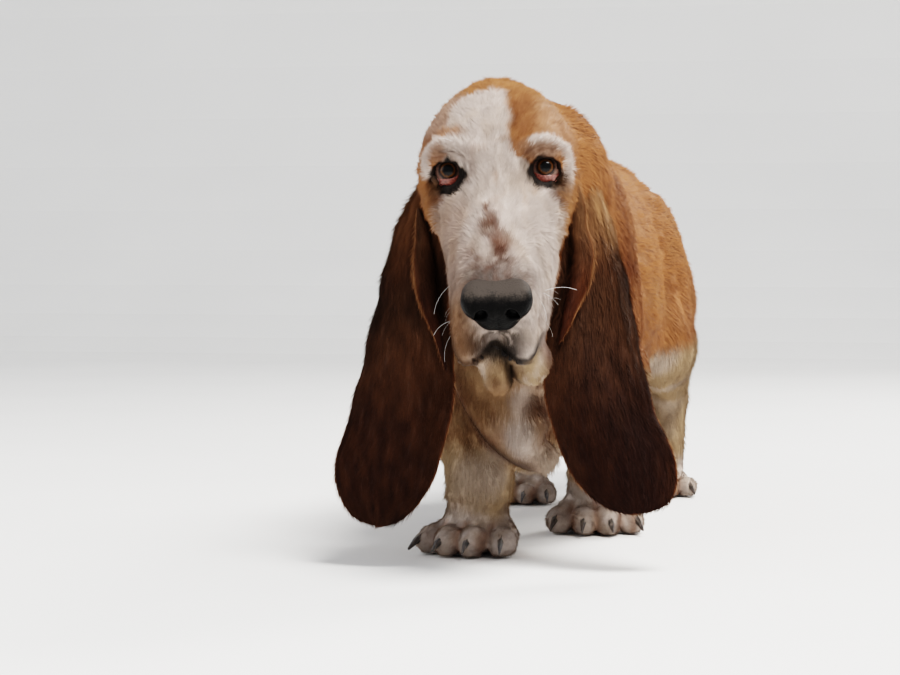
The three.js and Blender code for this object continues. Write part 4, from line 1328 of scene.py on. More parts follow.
def paint_blaze(paint, face):
    """The white of the face, with cream in it, grey streaks of painted shade between its hairs, and painted
    shade on the right side of the muzzle over its beige-brown.
    """
    points, front, fine = face.points, face.front, face.fine
    x, z = points[:, 0], points[:, 2]
    blaze = face.blaze()
    paint.lay("white", blaze * front)
    paint.lay("cream", 0.28 * front * blaze * smooth_step(noise(points * (1, 1, 0.4), 9, 15), -0.2, 0.9))
    paint.lay("sand", 0.06 * blaze)
    paint.lay("brown", 0.05 * blaze)
    # Grey streaks along the hair: painted shade between the strands.
    paint.lay("soot", 0.14 * blaze * smooth_step(noise(points * (1, 1, 0.35), 3.5, 19), 0.1, 0.8))
    # Painted shade on the right side of the muzzle, over its own beige-brown colour.
    shade = front * blaze * (1 - smooth_step(x + face.wave, -32, -14)) * between(z, -140, -24, 14)
    paint.lay("sand", 0.28 * shade)
    paint.lay("brown", 0.24 * shade)
    # Darker still low on the right flew: more painted shade.
    low = front * (1 - smooth_step(x + face.wave, -29, -15)) * between(z, -146, -100, 10)
    paint.lay("cream", 0.5 * low)
    paint.lay("brown", 0.5 * low)
    paint.lay("soot", 0.46 * low * smooth_step(fine, -0.7, 0.5))
    left_low = front * smooth_step(x, 25, 36) * between(z, -134, -98, 8)
    paint.lay("brown", 0.4 * left_low * smooth_step(fine, -0.3, 0.5))
    paint.lay("sand", 0.4 * blaze * between(z, -30, 30, 12) * smooth_step(noise(points, 7, 16), 0.2, 0.9))


def paint_eyes(paint, face):
    """White brow rolls, and black round the eyes that runs down from each inner and outer corner."""
    points, front, fine = face.points, face.front, face.fine
    paint.lay("tan", 0.7 * stripe(points, BROW_STREAK, 3.4, 0.9) * front)
    paint.lay("brown", 0.3 * stripe(points, FLANK_STREAKS, 2.5, 0.9) * front)
    for line in BROW_ROLLS:
        paint.lay("white", 0.9 * stripe(points, line, 3.3, 0.5) * front)
    for side in SIDES:
        eye = points - (side * EYE_APART, 0, -1)
        lid = spot(points, (side * 36, -15, 11), (15, 20, 5), 0.6)
        paint.lay("white", 0.3 * front * spot(points, (side * 37, -15, 14), (17, 20, 7), 0.6))
        paint.lay("brown", 0.5 * front * lid * smooth_step(fine, -0.5, 0.5))
        ring = np.hypot(eye[:, 0], eye[:, 2]) + 2.0 * fine + face.wave * 0.5
        reach = (15.5 if side < 0 else 13.6) + 2.0 * smooth_step(-eye[:, 2], 4, 12)
        reach = reach + (11.0 - reach) * smooth_step(eye[:, 2], -3, 8)
        paint.lay("soot", front * 0.97 * (1 - smooth_step(ring, reach - 1.0, reach + 2.2)))
        corner = spot(points, (side * 47, -6, -15), (7, 20, 9), 0.6)
        tear = spot(points, (side * 24, -20, -6), (5, 20, 9), 0.7)
        paint.lay("soot", corner * (0.85 if side < 0 else 0.6))
        paint.lay("brown", 0.6 * spot(points, (side * 46, -4, -22), (7, 20, 5), 0.6))
        paint.lay("soot", 0.6 * tear * smooth_step(fine, -0.6, 0.4))


def paint_cheeks(paint, face):
    """Tan and brown where the white of the muzzle ends at the sides, browner on the right as painted shade.
    """
    x, _, z = face.points.T
    edge = face.front * smooth_step(np.abs(x) + face.wave, 48, 55) * between(z, -75, -14, 10)
    # Less tan and more brown on the right side: painted shade over its tan.
    paint.lay("tan", edge * np.where(x > 0, 0.7, 0.3))
    paint.lay("brown", edge * np.where(x > 0, 0.15, 0.42))
    inner = face.front * smooth_step(np.abs(x) + face.wave, 42, 52) * between(z, -85, -10, 10)
    paint.lay("sand", 0.6 * inner)


def paint_bridge(paint, face):
    """The brown patch with its pale island on the bridge, and dark hair next to the nose."""
    points, fine = face.points, face.fine
    streak = 0.8 * spot(points, (-6.8, -38, -31), (2.4, 20, 5))
    paint.lay("brown", streak + 0.5 * spot(points, (-3, -42, -40), (4, 20, 6)))
    mottle = smooth_step(noise(points, 7, 17) + 0.6 * fine, -0.5, 0.35)
    upper = spot(points, (-4, -56, -48), (9, 34, 12), 0.5)
    patch = np.maximum(spot(points, (-3, -62, -66), (17, 34, 15), 0.5), upper)
    patch = patch * (1 - 0.85 * spot(points, (-8, -60, -60), (5.5, 40, 7), 0.5))
    paint.lay("brown", 0.34 * patch)
    paint.lay("brown", 0.6 * patch * mottle)
    paint.lay("soot", 0.14 * patch)
    paint.lay("brown", 0.6 * spot(points, (3, -62, -58), (7, 34, 9), 0.6))
    paint.lay("soot", 0.5 * spot(points, (2, -64, -68), (9, 34, 9), 0.5) * mottle)
    over_nose = spot(points, (-2, -78, -86), (34, 34, 14), 0.7)
    paint.lay("soot", 0.75 * over_nose)
    paint.lay("brown", 0.3 * over_nose * smooth_step(fine, -0.5, 0.5))


def paint_mouth(paint, face):
    """Dark lips and hair round the mouth, a cream chin and lower lip, and painted shade in the creases and
    gaps between them.
    """
    points, fine = face.points, face.fine
    x, y, z = points.T
    beard = spot(points, (-4, -66, -129), (23, 24, 14), 0.5)
    paint.lay("soot", 0.9 * beard * smooth_step(noise(points, 4, 18), -0.9, 0.4))
    for line in LIP_MARKS:
        paint.lay("soot", 0.92 * stripe(points, line, 3.6, 0.7) * (1 - smooth_step(y, -34, -8)))
    paint.lay("sand", 0.3 * spot(points, (-28, -40, -122), (15, 40, 30), 0.6))
    flew = between(x, 8, 34, 5) * between(z, -128, -92, 8)
    paint.lay("soot", 0.3 * flew * smooth_step(fine, 0.1, 0.8))
    chin = spot(points, (-3, -20, -156), (15, 25, 24), 0.4)
    lower = np.maximum(chin, spot(points, (21, -14, -156), (18, 26, 17), 0.5))
    paint.lay("cream", lower)
    paint.lay("brown", 0.34 * lower * smooth_step(noise(points * (1, 1, 0.3), 4, 20), -0.1, 0.7))
    paint.lay("sand", 0.2 * chin)
    paint.lay("brown", 0.35 * chin * (1 - smooth_step(z, -166, -154)))
    paint.lay("white", 0.5 * lower * smooth_step(noise(points * (1, 1, 0.3), 5, 25), 0.1, 0.8))
    # Painted shade on the outer side of the lower lip's fold.
    paint.lay("brown", 0.75 * spot(points, (35, -8, -142), (5, 24, 15), 0.7))
    paint.lay("soot", 0.35 * spot(points, (35, -8, -142), (4, 24, 12), 0.8))
    # Black lips and painted shade in the gap where the flews meet over the chin.
    paint.lay("soot", 0.9 * spot(points, (0, -46, -139), (17, 24, 8), 0.6))
    # Painted shade in the crease between the chin and the lower lip's fold.
    paint.lay("soot", 0.8 * stripe(points, CHIN_CREASE_SHADE, 3.4, 0.8) * (y < 10))
    throat = smooth_step(y, 8, 26) * (1 - smooth_step(z, -70, -50))
    paint.lay("brown", 0.7 * throat * (1 - chin))


FACE_PAINTS = (paint_crown, paint_blaze, paint_eyes, paint_cheeks, paint_bridge, paint_mouth)


def coat_paint(points):
    """The colour of the coat at points of the body and the head."""
    paint = Paint(points)
    paint_body(paint, points)
    local = HANG.into(points)
    near = (behind_head(points) < 30) & (np.abs(local[:, 1]) < 135) & (local[:, 2] > -172)
    over = Paint(points[near])
    over.colour = paint.colour[near].copy()
    face = Face(local[near])
    for part in FACE_PAINTS:
        part(over, face)
    share = 1 - smooth_step(behind_head(points[near]), -12, 26)
    share = share * smooth_step(local[near][:, 2], -172, -164)
    paint.colour[near] += (over.colour - paint.colour[near]) * share[:, None]
    return paint.colour


# Markings of the ears, with some painted light and shade, by their maps


def ear_paint(points, place, inner):
    """Dark red-brown, streaked along the flap, frosted at the top, with lighter rims as a painted highlight
    and a paler inside. The left ear, which the key light strikes, is painted apart: less light brown in its
    streaks, and a paler top as painted light.
    """
    paint = Paint(points, "mahogany")
    u, v = (place[:, 0] - FRONT_LEFT) / FRONT_WIDTH, place[:, 1]
    u = np.where(u > 1.1, u - BACK_AT, u)
    # The left ear faces the key light, and its colours are set for how that light falls on it.
    lit = points[:, 0].mean() > 0
    streak = 0.4 * noise(points * (1, 1, 0.35), 4, 21) + 0.7 * noise(points * (1, 1, 0.5), 40, 22)
    paint.lay("brown", (0.07 if lit else 0.13) * smooth_step(streak, -0.5, 1.0) + 0.02)
    paint.lay("sand", 0.02 * smooth_step(streak, -0.6, 0.6) + 0.03 * (1 - smooth_step(v, 0.3, 0.7)))
    paint.lay("soot", 0.25 * smooth_step(-streak, 0.0, 1.0))
    paint.lay("brown", 0.5 * (1 - smooth_step(v + 0.08 * streak, 0.05, 0.36)))
    # Frost on the top, paler on the left ear as painted light.
    pale = 0.2 + 0.6 * smooth_step(u, 0.3, 0.85) if lit else 0.12
    paint.lay("sand", pale * (1 - smooth_step(v + 0.06 * streak, 0.10, 0.30)))
    # Lighter brown and tan along the rims: a painted highlight where the edges catch the light.
    rim = np.minimum(np.minimum(np.abs(u), np.abs(1 - u)), (1 - v) * 2)
    paint.lay("brown", 0.6 * (1 - smooth_step(rim, 0.0, 0.028)))
    paint.lay("tan", 0.15 * (1 - smooth_step(rim, 0.0, 0.02)))
    paint.lay("sand", 0.45 * inner)
    return paint.colour


def roll_paint(points, place):
    """The roll is redder and more frosted than the flap, the left one more so as painted light, with a
    painted highlight of brown and sand along its outer side.
    """
    paint = Paint(points, "mahogany")
    left = points[:, 0].mean() > 0
    streak = noise(points * (1, 1, 0.2), 5, 23) + 0.6 * noise(points * (1, 1, 0.3), 16, 24)
    # The left roll faces the key light: more brown and frost, as painted light.
    red = 0.55 if left else 0.25
    paint.lay("brown", red * (0.3 + 0.4 * smooth_step(streak, -0.4, 0.9)))
    paint.lay("sand", red * 0.25 * (1 - smooth_step(place[:, 1] / ROLL_DOWN, 0.1, 0.8)))
    # A painted highlight along the roll's outer side, where it catches the light.
    outward = np.cos((place[:, 0] - ROLL_LEFT) / ROLL_AROUND * 2 * math.pi) * (1 if left else -1)
    paint.lay("brown", 0.5 * smooth_step(outward, 0.6, 0.98))
    paint.lay("sand", 0.3 * smooth_step(outward, 0.75, 0.99))
    return paint.colour


# The lie of the coat, and how long, wide and close it is


SWAY = 0.38  # how far whole locks stray from the lie of the coat


class CoatPlan:
    """At each point of the skin: which group it is of, the hair's direction and its measures."""

    def __init__(self, points, normals):
        rows = Flesh(points).parts(points)
        share = np.exp(-(rows - rows.min(0)) / 8)
        share = share / share.sum(0)
        self.group = rows.argmin(0)
        self.names = list(GROUPS)
        lie = np.zeros((len(points), 3))
        length = np.zeros(len(points))
        close = np.zeros(len(points))
        for name, weight in zip(self.names, share):
            there = np.flatnonzero(weight > 0.01)
            if not len(there):
                continue
            way, long, many = self.measures(name, points[there])
            weight = weight[there]
            lie[there] += unit(way) * weight[:, None]
            length[there] += long * weight
            close[there] += many * weight
        for size, share in ((8.0, 1 - smooth_step(behind_head(points), -30, 20)), (22.0, 0.35)):
            sway = np.stack([noise(points, size, seed) for seed in (41, 42, 43)], 1)
            lie = lie + SWAY * sway * np.reshape(share, (-1, 1))
        flat = lie - normals * (lie * normals).sum(1)[:, None]
        self.lie = unit(flat)
        self.length = length
        self.close = close * smooth_step(points[:, 2], 1.0, 3.0)

    def measures(self, name, points):
        """The direction, the length in millimetres and the tufts in each square millimetre."""
        x, y, z = points.T
        ones = np.ones(len(points))
        if name == "torso":
            front = 1 - smooth_step(y, -30, 30)
            down = 0.3 + 1.1 * (1 - smooth_step(z, 130, 230)) + 2.5 * front
            way = np.stack((0.1 * np.sign(x) * ones, 1 - 0.9 * front, -down), 1)
            long = 9.0 - 4.5 * stripe(points, HEM_MARK, 11) * (y < -30)
            return way, long, 0.29 * ones
        if name == "neck":
            way = np.stack((0 * x, 0.8 * ones, -0.75 * ones), 1)
            return way, 8.0 * ones, 0.48 * ones
        if name == "tail":
            line = curve_through(TAIL_LINE, np.linspace(0, 1, 60))
            nearest = ((points[:, None, :] - line[None]) ** 2).sum(2).argmin(1)
            return np.gradient(line, axis=0)[nearest], 14.0 * ones, 0.42 * ones
        if name == "head":
            return self.head_measures(points)
        leg = LEGS[self.names.index(name) - self.names.index(LEGS[0].name)]
        foot = leg.foot.into(points)
        paw = 1 - smooth_step(z, 30, 58)
        splay = np.stack((0.25 * np.sign(foot[:, 0]), -1.0 * ones, -0.3 * ones), 1) @ leg.foot.turn.T
        way = np.array((0, 0.18, -1.0)) * (1 - paw)[:, None] + splay * paw[:, None]
        return way, 7.5 - 3.2 * paw, 0.42 + 0.4 * paw

    def head_measures(self, points):
        """Away from the nose over the muzzle and the brow, and down on the flews, cheeks and throat."""
        face = HANG.into(points)
        x, y, z = face.T
        nose = HANG.into(NOSE.out((0, -6, 6)))
        way = unit(face - nose)
        hang = (1 - smooth_step(z, -70, -30)) * smooth_step(np.abs(x), 12, 34)
        hang = np.maximum(hang, 1 - smooth_step(z, -118, -96))
        hang = np.maximum(hang, 0.7 * smooth_step(np.abs(x), 38, 54) * (1 - smooth_step(z, -20, 30)))
        way = way * (1 - 0.75 * hang[:, None]) + np.array((0, 0.35, -1.0)) * hang[:, None]
        way[:, 0] += 0.35 * np.sign(x) * smooth_step(z, 0, 50) + 0.15 * np.sign(x)
        for side in SIDES:
            eye = face - (side * EYE_APART, 0, 0)
            ring = np.exp(-((np.hypot(eye[:, 0], eye[:, 2]) / 19) ** 4))
            way += unit(eye * (1, 0, 1)) * 0.9 * ring[:, None]
        crown = smooth_step(y + 0.5 * z, 15, 70)
        length = 6.0 + 0.6 * crown + 0.8 * smooth_step(np.abs(x), 40, 56)
        for side in SIDES:
            length = length * (1 - 0.45 * spot(face, (side * EYE_APART, -12, -2), (19, 20, 18), 0.4))
        for line in LIP_MARKS:
            length = length * (1 - 0.65 * stripe(face, line, 6) * (y < 20))
        many = 1.15 - 0.42 * crown
        bare = np.zeros(len(points))
        for side in SIDES:
            bare = np.maximum(bare, spot(face, (side * EYE_APART, -12, -1.5), (13.6, 16, 12.0), 0.08))
        local = NOSE.into(points)
        bare = np.maximum(bare, spot(local, (0, -6, -4), (27, 16, 18), 0.12))
        length = length * (1 - 0.45 * spot(local, (0, 0, 0), (44, 40, 36), 0.4))
        length = length * (1 - 0.3 * (1 - smooth_step(z, -142, -132)))
        return way @ HANG.turn.T, length, many * (1 - bare)

    def width(self):
        """Each tuft's width in millimetres, by its length."""
        return 0.28 + 0.085 * self.length


# Tufts: flat blades set on the skin by Geometry Nodes


def add_node(tree, kind, inputs=(), **settings):
    """A node with its settings, and its inputs by their place: a value, or another node's output."""
    node = tree.nodes.new(kind)
    for name, value in settings.items():
        setattr(node, name, value)
    for place, value in dict(inputs).items():
        socket = node.inputs[place]
        if isinstance(value, bpy.types.NodeSocket):
            tree.links.new(value, socket)
        else:
            socket.default_value = value
    return node


def vector_math(tree, operation, a, b=None, scale=None):
    inputs = {0: a}
    if b is not None:
        inputs[1] = b
    if scale is not None:
        inputs["Scale"] = scale
    return add_node(tree, "ShaderNodeVectorMath", inputs, operation=operation).outputs[0]


def float_math(tree, operation, a, b=0.0, c=0.0):
    return add_node(tree, "ShaderNodeMath", {0: a, 1: b, 2: c}, operation=operation).outputs[0]


def read(tree, name, kind="FLOAT"):
    node = add_node(tree, "GeometryNodeInputNamedAttribute", {"Name": name}, data_type=kind)
    return node.outputs["Attribute"]


def random_number(tree, low, high, seed):
    node = add_node(tree, "FunctionNodeRandomValue", data_type="FLOAT")
    node.inputs[2].default_value = low
    node.inputs[3].default_value = high
    tree.links.new(seed, node.inputs["Seed"])
    return node.outputs[1]


HAIR_INPUTS = (
    ("Density", "NodeSocketFloat"),
    ("Lift", "NodeSocketFloat"),
    ("Ruffle", "NodeSocketFloat"),
    ("Seed", "NodeSocketInt"),
    ("Material", "NodeSocketMaterial"),
)


def hair_tree(name, scatter, blade, droops=False):
    """Nodes that set a blade at each root, along the lie and lifted from it, then make them real."""
    tree = bpy.data.node_groups.new(name, "GeometryNodeTree")
    tree.interface.new_socket("Geometry", in_out="INPUT", socket_type="NodeSocketGeometry")
    for label, kind in HAIR_INPUTS:
        tree.interface.new_socket(label, in_out="INPUT", socket_type=kind)
    tree.interface.new_socket("Geometry", in_out="OUTPUT", socket_type="NodeSocketGeometry")
    given = tree.nodes.new("NodeGroupInput").outputs
    points, normal = scatter(tree, given)
    seed = given["Seed"]
    seeds = [float_math(tree, "ADD", seed, step) for step in (1, 2, 3, 4)]
    sway = add_node(tree, "FunctionNodeRandomValue", data_type="FLOAT_VECTOR")
    sway.inputs[0].default_value = (-1, -1, -1)
    tree.links.new(seeds[0], sway.inputs["Seed"])
    swayed = vector_math(tree, "SCALE", sway.outputs[0], scale=given["Ruffle"])
    way = vector_math(tree, "ADD", read(tree, "lie", "FLOAT_VECTOR"), swayed)
    dot = add_node(tree, "ShaderNodeVectorMath", {0: way, 1: normal}, operation="DOT_PRODUCT")
    off = vector_math(tree, "SCALE", normal, scale=dot.outputs["Value"])
    flat = vector_math(tree, "SUBTRACT", way, off)
    flat = vector_math(tree, "NORMALIZE", flat)
    steep = float_math(tree, "TANGENT", given["Lift"])
    steep = float_math(tree, "MULTIPLY", steep, random_number(tree, 0.3, 1.7, seeds[1]))
    gathered = float_math(tree, "MULTIPLY_ADD", read(tree, "lock"), 0.6, 1.0)
    steep = float_math(tree, "MULTIPLY", steep, float_math(tree, "MAXIMUM", gathered, 0.15))
    raised = vector_math(tree, "ADD", flat, vector_math(tree, "SCALE", normal, scale=steep))
    inward = (0, 0, -1) if droops else vector_math(tree, "SCALE", normal, scale=-1.0)
    turn = add_node(
        tree, "FunctionNodeAxesToRotation", {0: raised, 1: inward}, primary_axis="Z", secondary_axis="X"
    )
    long = float_math(tree, "MULTIPLY", read(tree, "coat_length"), random_number(tree, 0.65, 1.3, seeds[2]))
    wide = float_math(tree, "MULTIPLY", read(tree, "coat_width"), random_number(tree, 0.75, 1.25, seeds[3]))
    thick = float_math(tree, "MULTIPLY", wide, 0.45)
    sides = {0: long, 1: long, 2: long} if droops else {0: thick, 1: wide, 2: long}
    scale = add_node(tree, "ShaderNodeCombineXYZ", sides).outputs[0]
    place = add_node(tree, "GeometryNodeInputPosition").outputs[0]
    rooted = add_node(
        tree, "GeometryNodeStoreNamedAttribute", {"Geometry": points, "Name": "root", "Value": place},
        data_type="FLOAT_VECTOR", domain="POINT",
    )
    sunk = vector_math(tree, "SCALE", normal, scale=float_math(tree, "MULTIPLY", wide, -0.22))
    sunk = add_node(tree, "GeometryNodeSetPosition", {"Geometry": rooted.outputs[0], "Offset": sunk})
    set_out = add_node(
        tree, "GeometryNodeInstanceOnPoints",
        {"Points": sunk.outputs[0], "Instance": blade(tree), "Rotation": turn.outputs[0], "Scale": scale},
    )
    real = add_node(tree, "GeometryNodeRealizeInstances", {"Geometry": set_out.outputs[0]})
    dyed = add_node(
        tree, "GeometryNodeSetMaterial", {"Geometry": real.outputs[0], "Material": given["Material"]}
    )
    add_node(tree, "NodeGroupOutput", {0: dyed.outputs[0]})
    return tree


def over_skin(tree, given):
    """Random roots all over the faces, as close as coat_density says."""
    close = float_math(tree, "MULTIPLY", read(tree, "coat_density"), given["Density"])
    node = add_node(
        tree, "GeometryNodeDistributePointsOnFaces",
        {"Mesh": given["Geometry"], "Density": close, "Seed": given["Seed"]}, distribute_method="RANDOM",
    )
    kept = add_node(
        tree, "GeometryNodeStoreNamedAttribute",
        {"Geometry": node.outputs["Points"], "Name": "root_normal", "Value": node.outputs["Normal"]},
        data_type="FLOAT_VECTOR", domain="POINT",
    )
    return kept.outputs[0], read(tree, "root_normal", "FLOAT_VECTOR")


def at_points(tree, given):
    """One root at each of the given points."""
    node = add_node(tree, "GeometryNodeMeshToPoints", {"Mesh": given["Geometry"], "Radius": 0.001})
    return node.outputs[0], read(tree, "root_normal", "FLOAT_VECTOR")


def tuft_blade(tree):
    """A pointed blade of three sides, one unit long."""
    inputs = {"Vertices": 3, "Side Segments": 1, "Fill Segments": 1, "Radius Top": 0.0,
              "Radius Bottom": 0.58, "Depth": 1.0}
    return add_node(tree, "GeometryNodeMeshCone", inputs, fill_type="NGON").outputs["Mesh"]


def whisker_blade(tree):
    """A thin tapered hair, one unit long, bent along its length."""
    bow = add_node(
        tree, "GeometryNodeCurveQuadraticBezier",
        {"Resolution": 10, "Start": (0, 0, 0), "Middle": (-0.02, 0.04, 0.6), "End": (0.26, -0.06, 0.97)},
    )
    share = add_node(tree, "GeometryNodeSplineParameter").outputs["Factor"]
    radius = float_math(tree, "SUBTRACT", 1.03, share)
    thin = add_node(tree, "GeometryNodeSetCurveRadius", {"Curve": bow.outputs[0], "Radius": radius})
    ring = add_node(tree, "GeometryNodeCurvePrimitiveCircle", {"Resolution": 4, "Radius": 0.0034})
    made = add_node(
        tree, "GeometryNodeCurveToMesh",
        {"Curve": thin.outputs[0], "Profile Curve": ring.outputs[0], "Fill Caps": True},
    )
    return made.outputs[0]


def tuft_tree():
    return bpy.data.node_groups.get("Hound tufts") or hair_tree("Hound tufts", over_skin, tuft_blade)


def run_tree(piece, tree, values):
    """Runs a tree on a piece, with inputs by name, and keeps the result as its plain mesh."""
    modifier = piece.modifiers.new("hair", "NODES")
    modifier.node_group = tree
    for socket in tree.interface.items_tree:
        if socket.in_out == "INPUT" and socket.name in values:
            modifier[socket.identifier] = values[socket.name]
    made = bpy.data.meshes.new_from_object(piece.evaluated_get(bpy.context.evaluated_depsgraph_get()))
    piece.modifiers.clear()
    old = piece.data
    piece.data = made
    bpy.data.meshes.remove(old)
    made.name = piece.name


BLADE = 4  # points in one tuft
PATCH = 0.003  # side of one tuft's patch on the map


def keep_unwrap(piece, places):
    """The map that colours are baked on: each tuft is a small patch at its root's place."""
    corners = np.empty(len(piece.data.loops), np.int32)
    piece.data.loops.foreach_get("vertex_index", corners)
    patch = np.array(((0, 0), (1, 0), (1, 1), (0, 1))) * PATCH
    flat = places[corners] * 0.99 + PATCH + patch[corners % BLADE]
    layer = piece.data.uv_layers.new(name="OFBake")
    layer.uv.foreach_set("vector", np.clip(flat, 0.001, 0.999).astype(np.float32).ravel())


WORKING = (
    "root",
    "root_normal",
    "lie",
    "lock",
    "sheet_place",
    "ear_inner",
    "coat_length",
    "coat_width",
    "coat_density",
)


def drop_attributes(piece):
    """Removes what the nodes worked with, and leaves the colour and the map."""
    for name in WORKING:
        layer = piece.data.attributes.get(name)
        if layer is not None:
            piece.data.attributes.remove(layer)


def finish_coat(piece, places, slot):
    """Gives a grown coat its map, on the fixed body; slot is not used."""
    keep_unwrap(piece, places)
    drop_attributes(piece)
    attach(piece, "root")


# Each stretch of coat is one piece: its name, the groups of flesh it covers and its slot

COATS = (
    ("coat_head_left", ("head",), "coat_face"),
    ("coat_head_right", ("head",), "coat_face"),
    ("coat_neck", ("neck",), "coat_tan"),
    ("coat_shoulders", ("torso",), "coat_tan"),
    ("coat_flanks", ("torso",), "coat_tan"),
    ("coat_rump", ("torso",), "coat_tan"),
    ("coat_tail", ("tail",), "coat_tan"),
    ("coat_forelegs", ("foreleg_left", "foreleg_right"), "coat_white"),
    ("coat_hindlegs", ("hindleg_left", "hindleg_right"), "coat_white"),
)
COAT_SPLITS = (88, 285)  # where the torso's coat is parted, from front to back


def coat_region(name, groups, plan, points):
    """1 at the points of the skin that a stretch of coat covers."""
    there = np.isin(plan.group, [plan.names.index(group) for group in groups])
    side = HANG.into(points)[:, 0]
    first, second = COAT_SPLITS
    limits = {
        "coat_head_left": side > 0,
        "coat_head_right": side <= 0,
        "coat_shoulders": points[:, 1] < first,
        "coat_flanks": (points[:, 1] >= first) & (points[:, 1] < second),
        "coat_rump": points[:, 1] >= second,
    }
    return there & limits.get(name, True)


def unwrap_round(points, name):
    """Places on an unwrap of the body round its long line, or of a leg or the head round its own."""
    if "head" in name:
        local = HEAD.into(points) - (0, 0, -30)
        angle = np.arctan2(local[:, 0], local[:, 2])
        along = (local[:, 1] + 160) / 300
    elif "leg" in name:
        legs = [leg for leg in LEGS if ("fore" in name) == leg.fore]
        first = np.linalg.norm(points[:, :2] - legs[0].paw[:2], axis=1)
        second = np.linalg.norm(points[:, :2] - legs[1].paw[:2], axis=1)
        middle = np.where((first < second)[:, None], legs[0].paw[:2], legs[1].paw[:2])
        local = points[:, :2] - middle
        angle = np.arctan2(local[:, 0], local[:, 1]) / 2 + np.where(first < second, -0.5, 0.5) * math.pi
        along = points[:, 2] / 260
    else:
        angle = np.arctan2(points[:, 0], points[:, 2] - 210)
        along = (points[:, 1] + 170) / 830
    return np.clip(np.stack((angle / (2 * math.pi) + 0.5, along), 1), 0, 1)


def grow(name, base, density, seed, material):
    """Grows one stretch of coat over a copy of its base, whose attributes give the lie and the sizes."""
    props = bpy.context.scene.hound_coat
    piece = bpy.data.objects.new(name, base.data.copy())
    bpy.context.scene.collection.objects.link(piece)
    keep_numbers(piece, "coat_density", density * 1e6)
    run_tree(piece, tuft_tree(), {
        "Density": props.density,
        "Lift": props.lift,
        "Ruffle": props.ruffle,
        "Seed": seed,
        "Material": material,
    })
    return piece


COAT_SEED = 40  # the tufts' random places: this for the first stretch of coat, and one more for each next
EAR_SEED = 70


def build_coat():
    """Plans the lie of the hair on the skin, then grows each stretch of coat over it."""
    skin = bpy.data.objects["skin"]
    points = points_of(skin)
    normals = np.empty(len(points) * 3, np.float32)
    skin.data.vertices.foreach_get("normal", normals)
    plan = CoatPlan(points, normals.reshape(-1, 3).astype(float))
    lie = smooth_over(skin, plan.lie, 2)
    keep_vectors(skin, "lie", lie)
    keep_numbers(skin, "lock", locks(skin, points, lie, 5, 3))
    keep_numbers(skin, "coat_length", plan.length / 1000)
    keep_numbers(skin, "coat_width", plan.width() / 1000)
    material = coat_material()
    for number, (name, groups, slot) in enumerate(COATS):
        density = coat_region(name, groups, plan, points) * plan.close
        piece = grow(name, skin, density, COAT_SEED + number, material)
        root = get_vectors(piece, "root") * 1000 - SHIFT
        finish_coat(piece, unwrap_round(root, name), slot)


def build_ear_coats():
    """Grows tufts over both flaps, fewer on the inside, and closer over their rolls."""
    material = coat_material()
    for number, name in enumerate([ear + part for ear in EARS for part in ("_flap", "_roll")]):
        base = bpy.data.objects[name]
        density = EAR_DENSITY * (1 - 0.45 * get_numbers(base, "ear_inner"))
        density = density * (1.3 if name.endswith("_roll") else 1)
        piece = grow(name + "_coat", base, density, EAR_SEED + number, material)
        finish_coat(piece, get_vectors(piece, "sheet_place")[:, :2], "ear_brown")


WHISKER_LENGTH = 22.0  # of the longest, roughly, in millimetres


def build_whiskers():
    """White whiskers from the flews, and a few over the eyes."""
    count = bpy.context.scene.hound_body.whiskers
    draw = np.random.default_rng(5)
    roots, ways, lengths = [], [], []
    for side in SIDES:
        for _ in range(count):
            y = -62 + 46 * draw.random()
            z = -84 - 44 * draw.random()
            roots.append((side * 44, y, z))
            ways.append((side, -0.25 + 0.5 * draw.random(), -0.45 + 0.5 * draw.random()))
            lengths.append(WHISKER_LENGTH * (0.45 + 0.6 * draw.random()))
        for _ in range(3):
            roots.append((side * (28 + 14 * draw.random()), -30, 24 + 3 * draw.random()))
            ways.append((side * 0.3, -0.8, 0.5 + 0.3 * draw.random()))
            lengths.append(WHISKER_LENGTH * 0.4)
    points = HANG.out(np.array(roots))
    points = settle(Flesh(points, 90.0), points, 14, most=3.0)
    whiskers = mesh_piece("whiskers", points, [])
    way = unit(np.array(ways)) @ HANG.turn.T
    keep_vectors(whiskers, "lie", way)
    keep_vectors(whiskers, "root_normal", unit(slope_of(Flesh(points), points)))
    keep_numbers(whiskers, "coat_length", np.array(lengths) / 1000)
    keep_numbers(whiskers, "coat_width", np.full(len(points), 0.00030))
    tree = hair_tree("Hound whiskers", at_points, whisker_blade, droops=True)
    run_tree(whiskers, tree, {
        "Density": 1.0,
        "Lift": math.radians(38),
        "Ruffle": 0.15,
        "Seed": 9,
        "Material": whisker_material(),
    })
    drop_attributes(whiskers)
    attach(whiskers, "root")


# Materials


def shader_group(name, inputs, outputs):
    """An empty shader node group with named sockets."""
    group = bpy.data.node_groups.new(name, "ShaderNodeTree")
    for label, kind, value in inputs:
        socket = group.interface.new_socket(label, in_out="INPUT", socket_type=kind)
        if value is not None:
            socket.default_value = value
    for label, kind in outputs:
        group.interface.new_socket(label, in_out="OUTPUT", socket_type=kind)
    given = group.nodes.new("NodeGroupInput").outputs
    return group, given


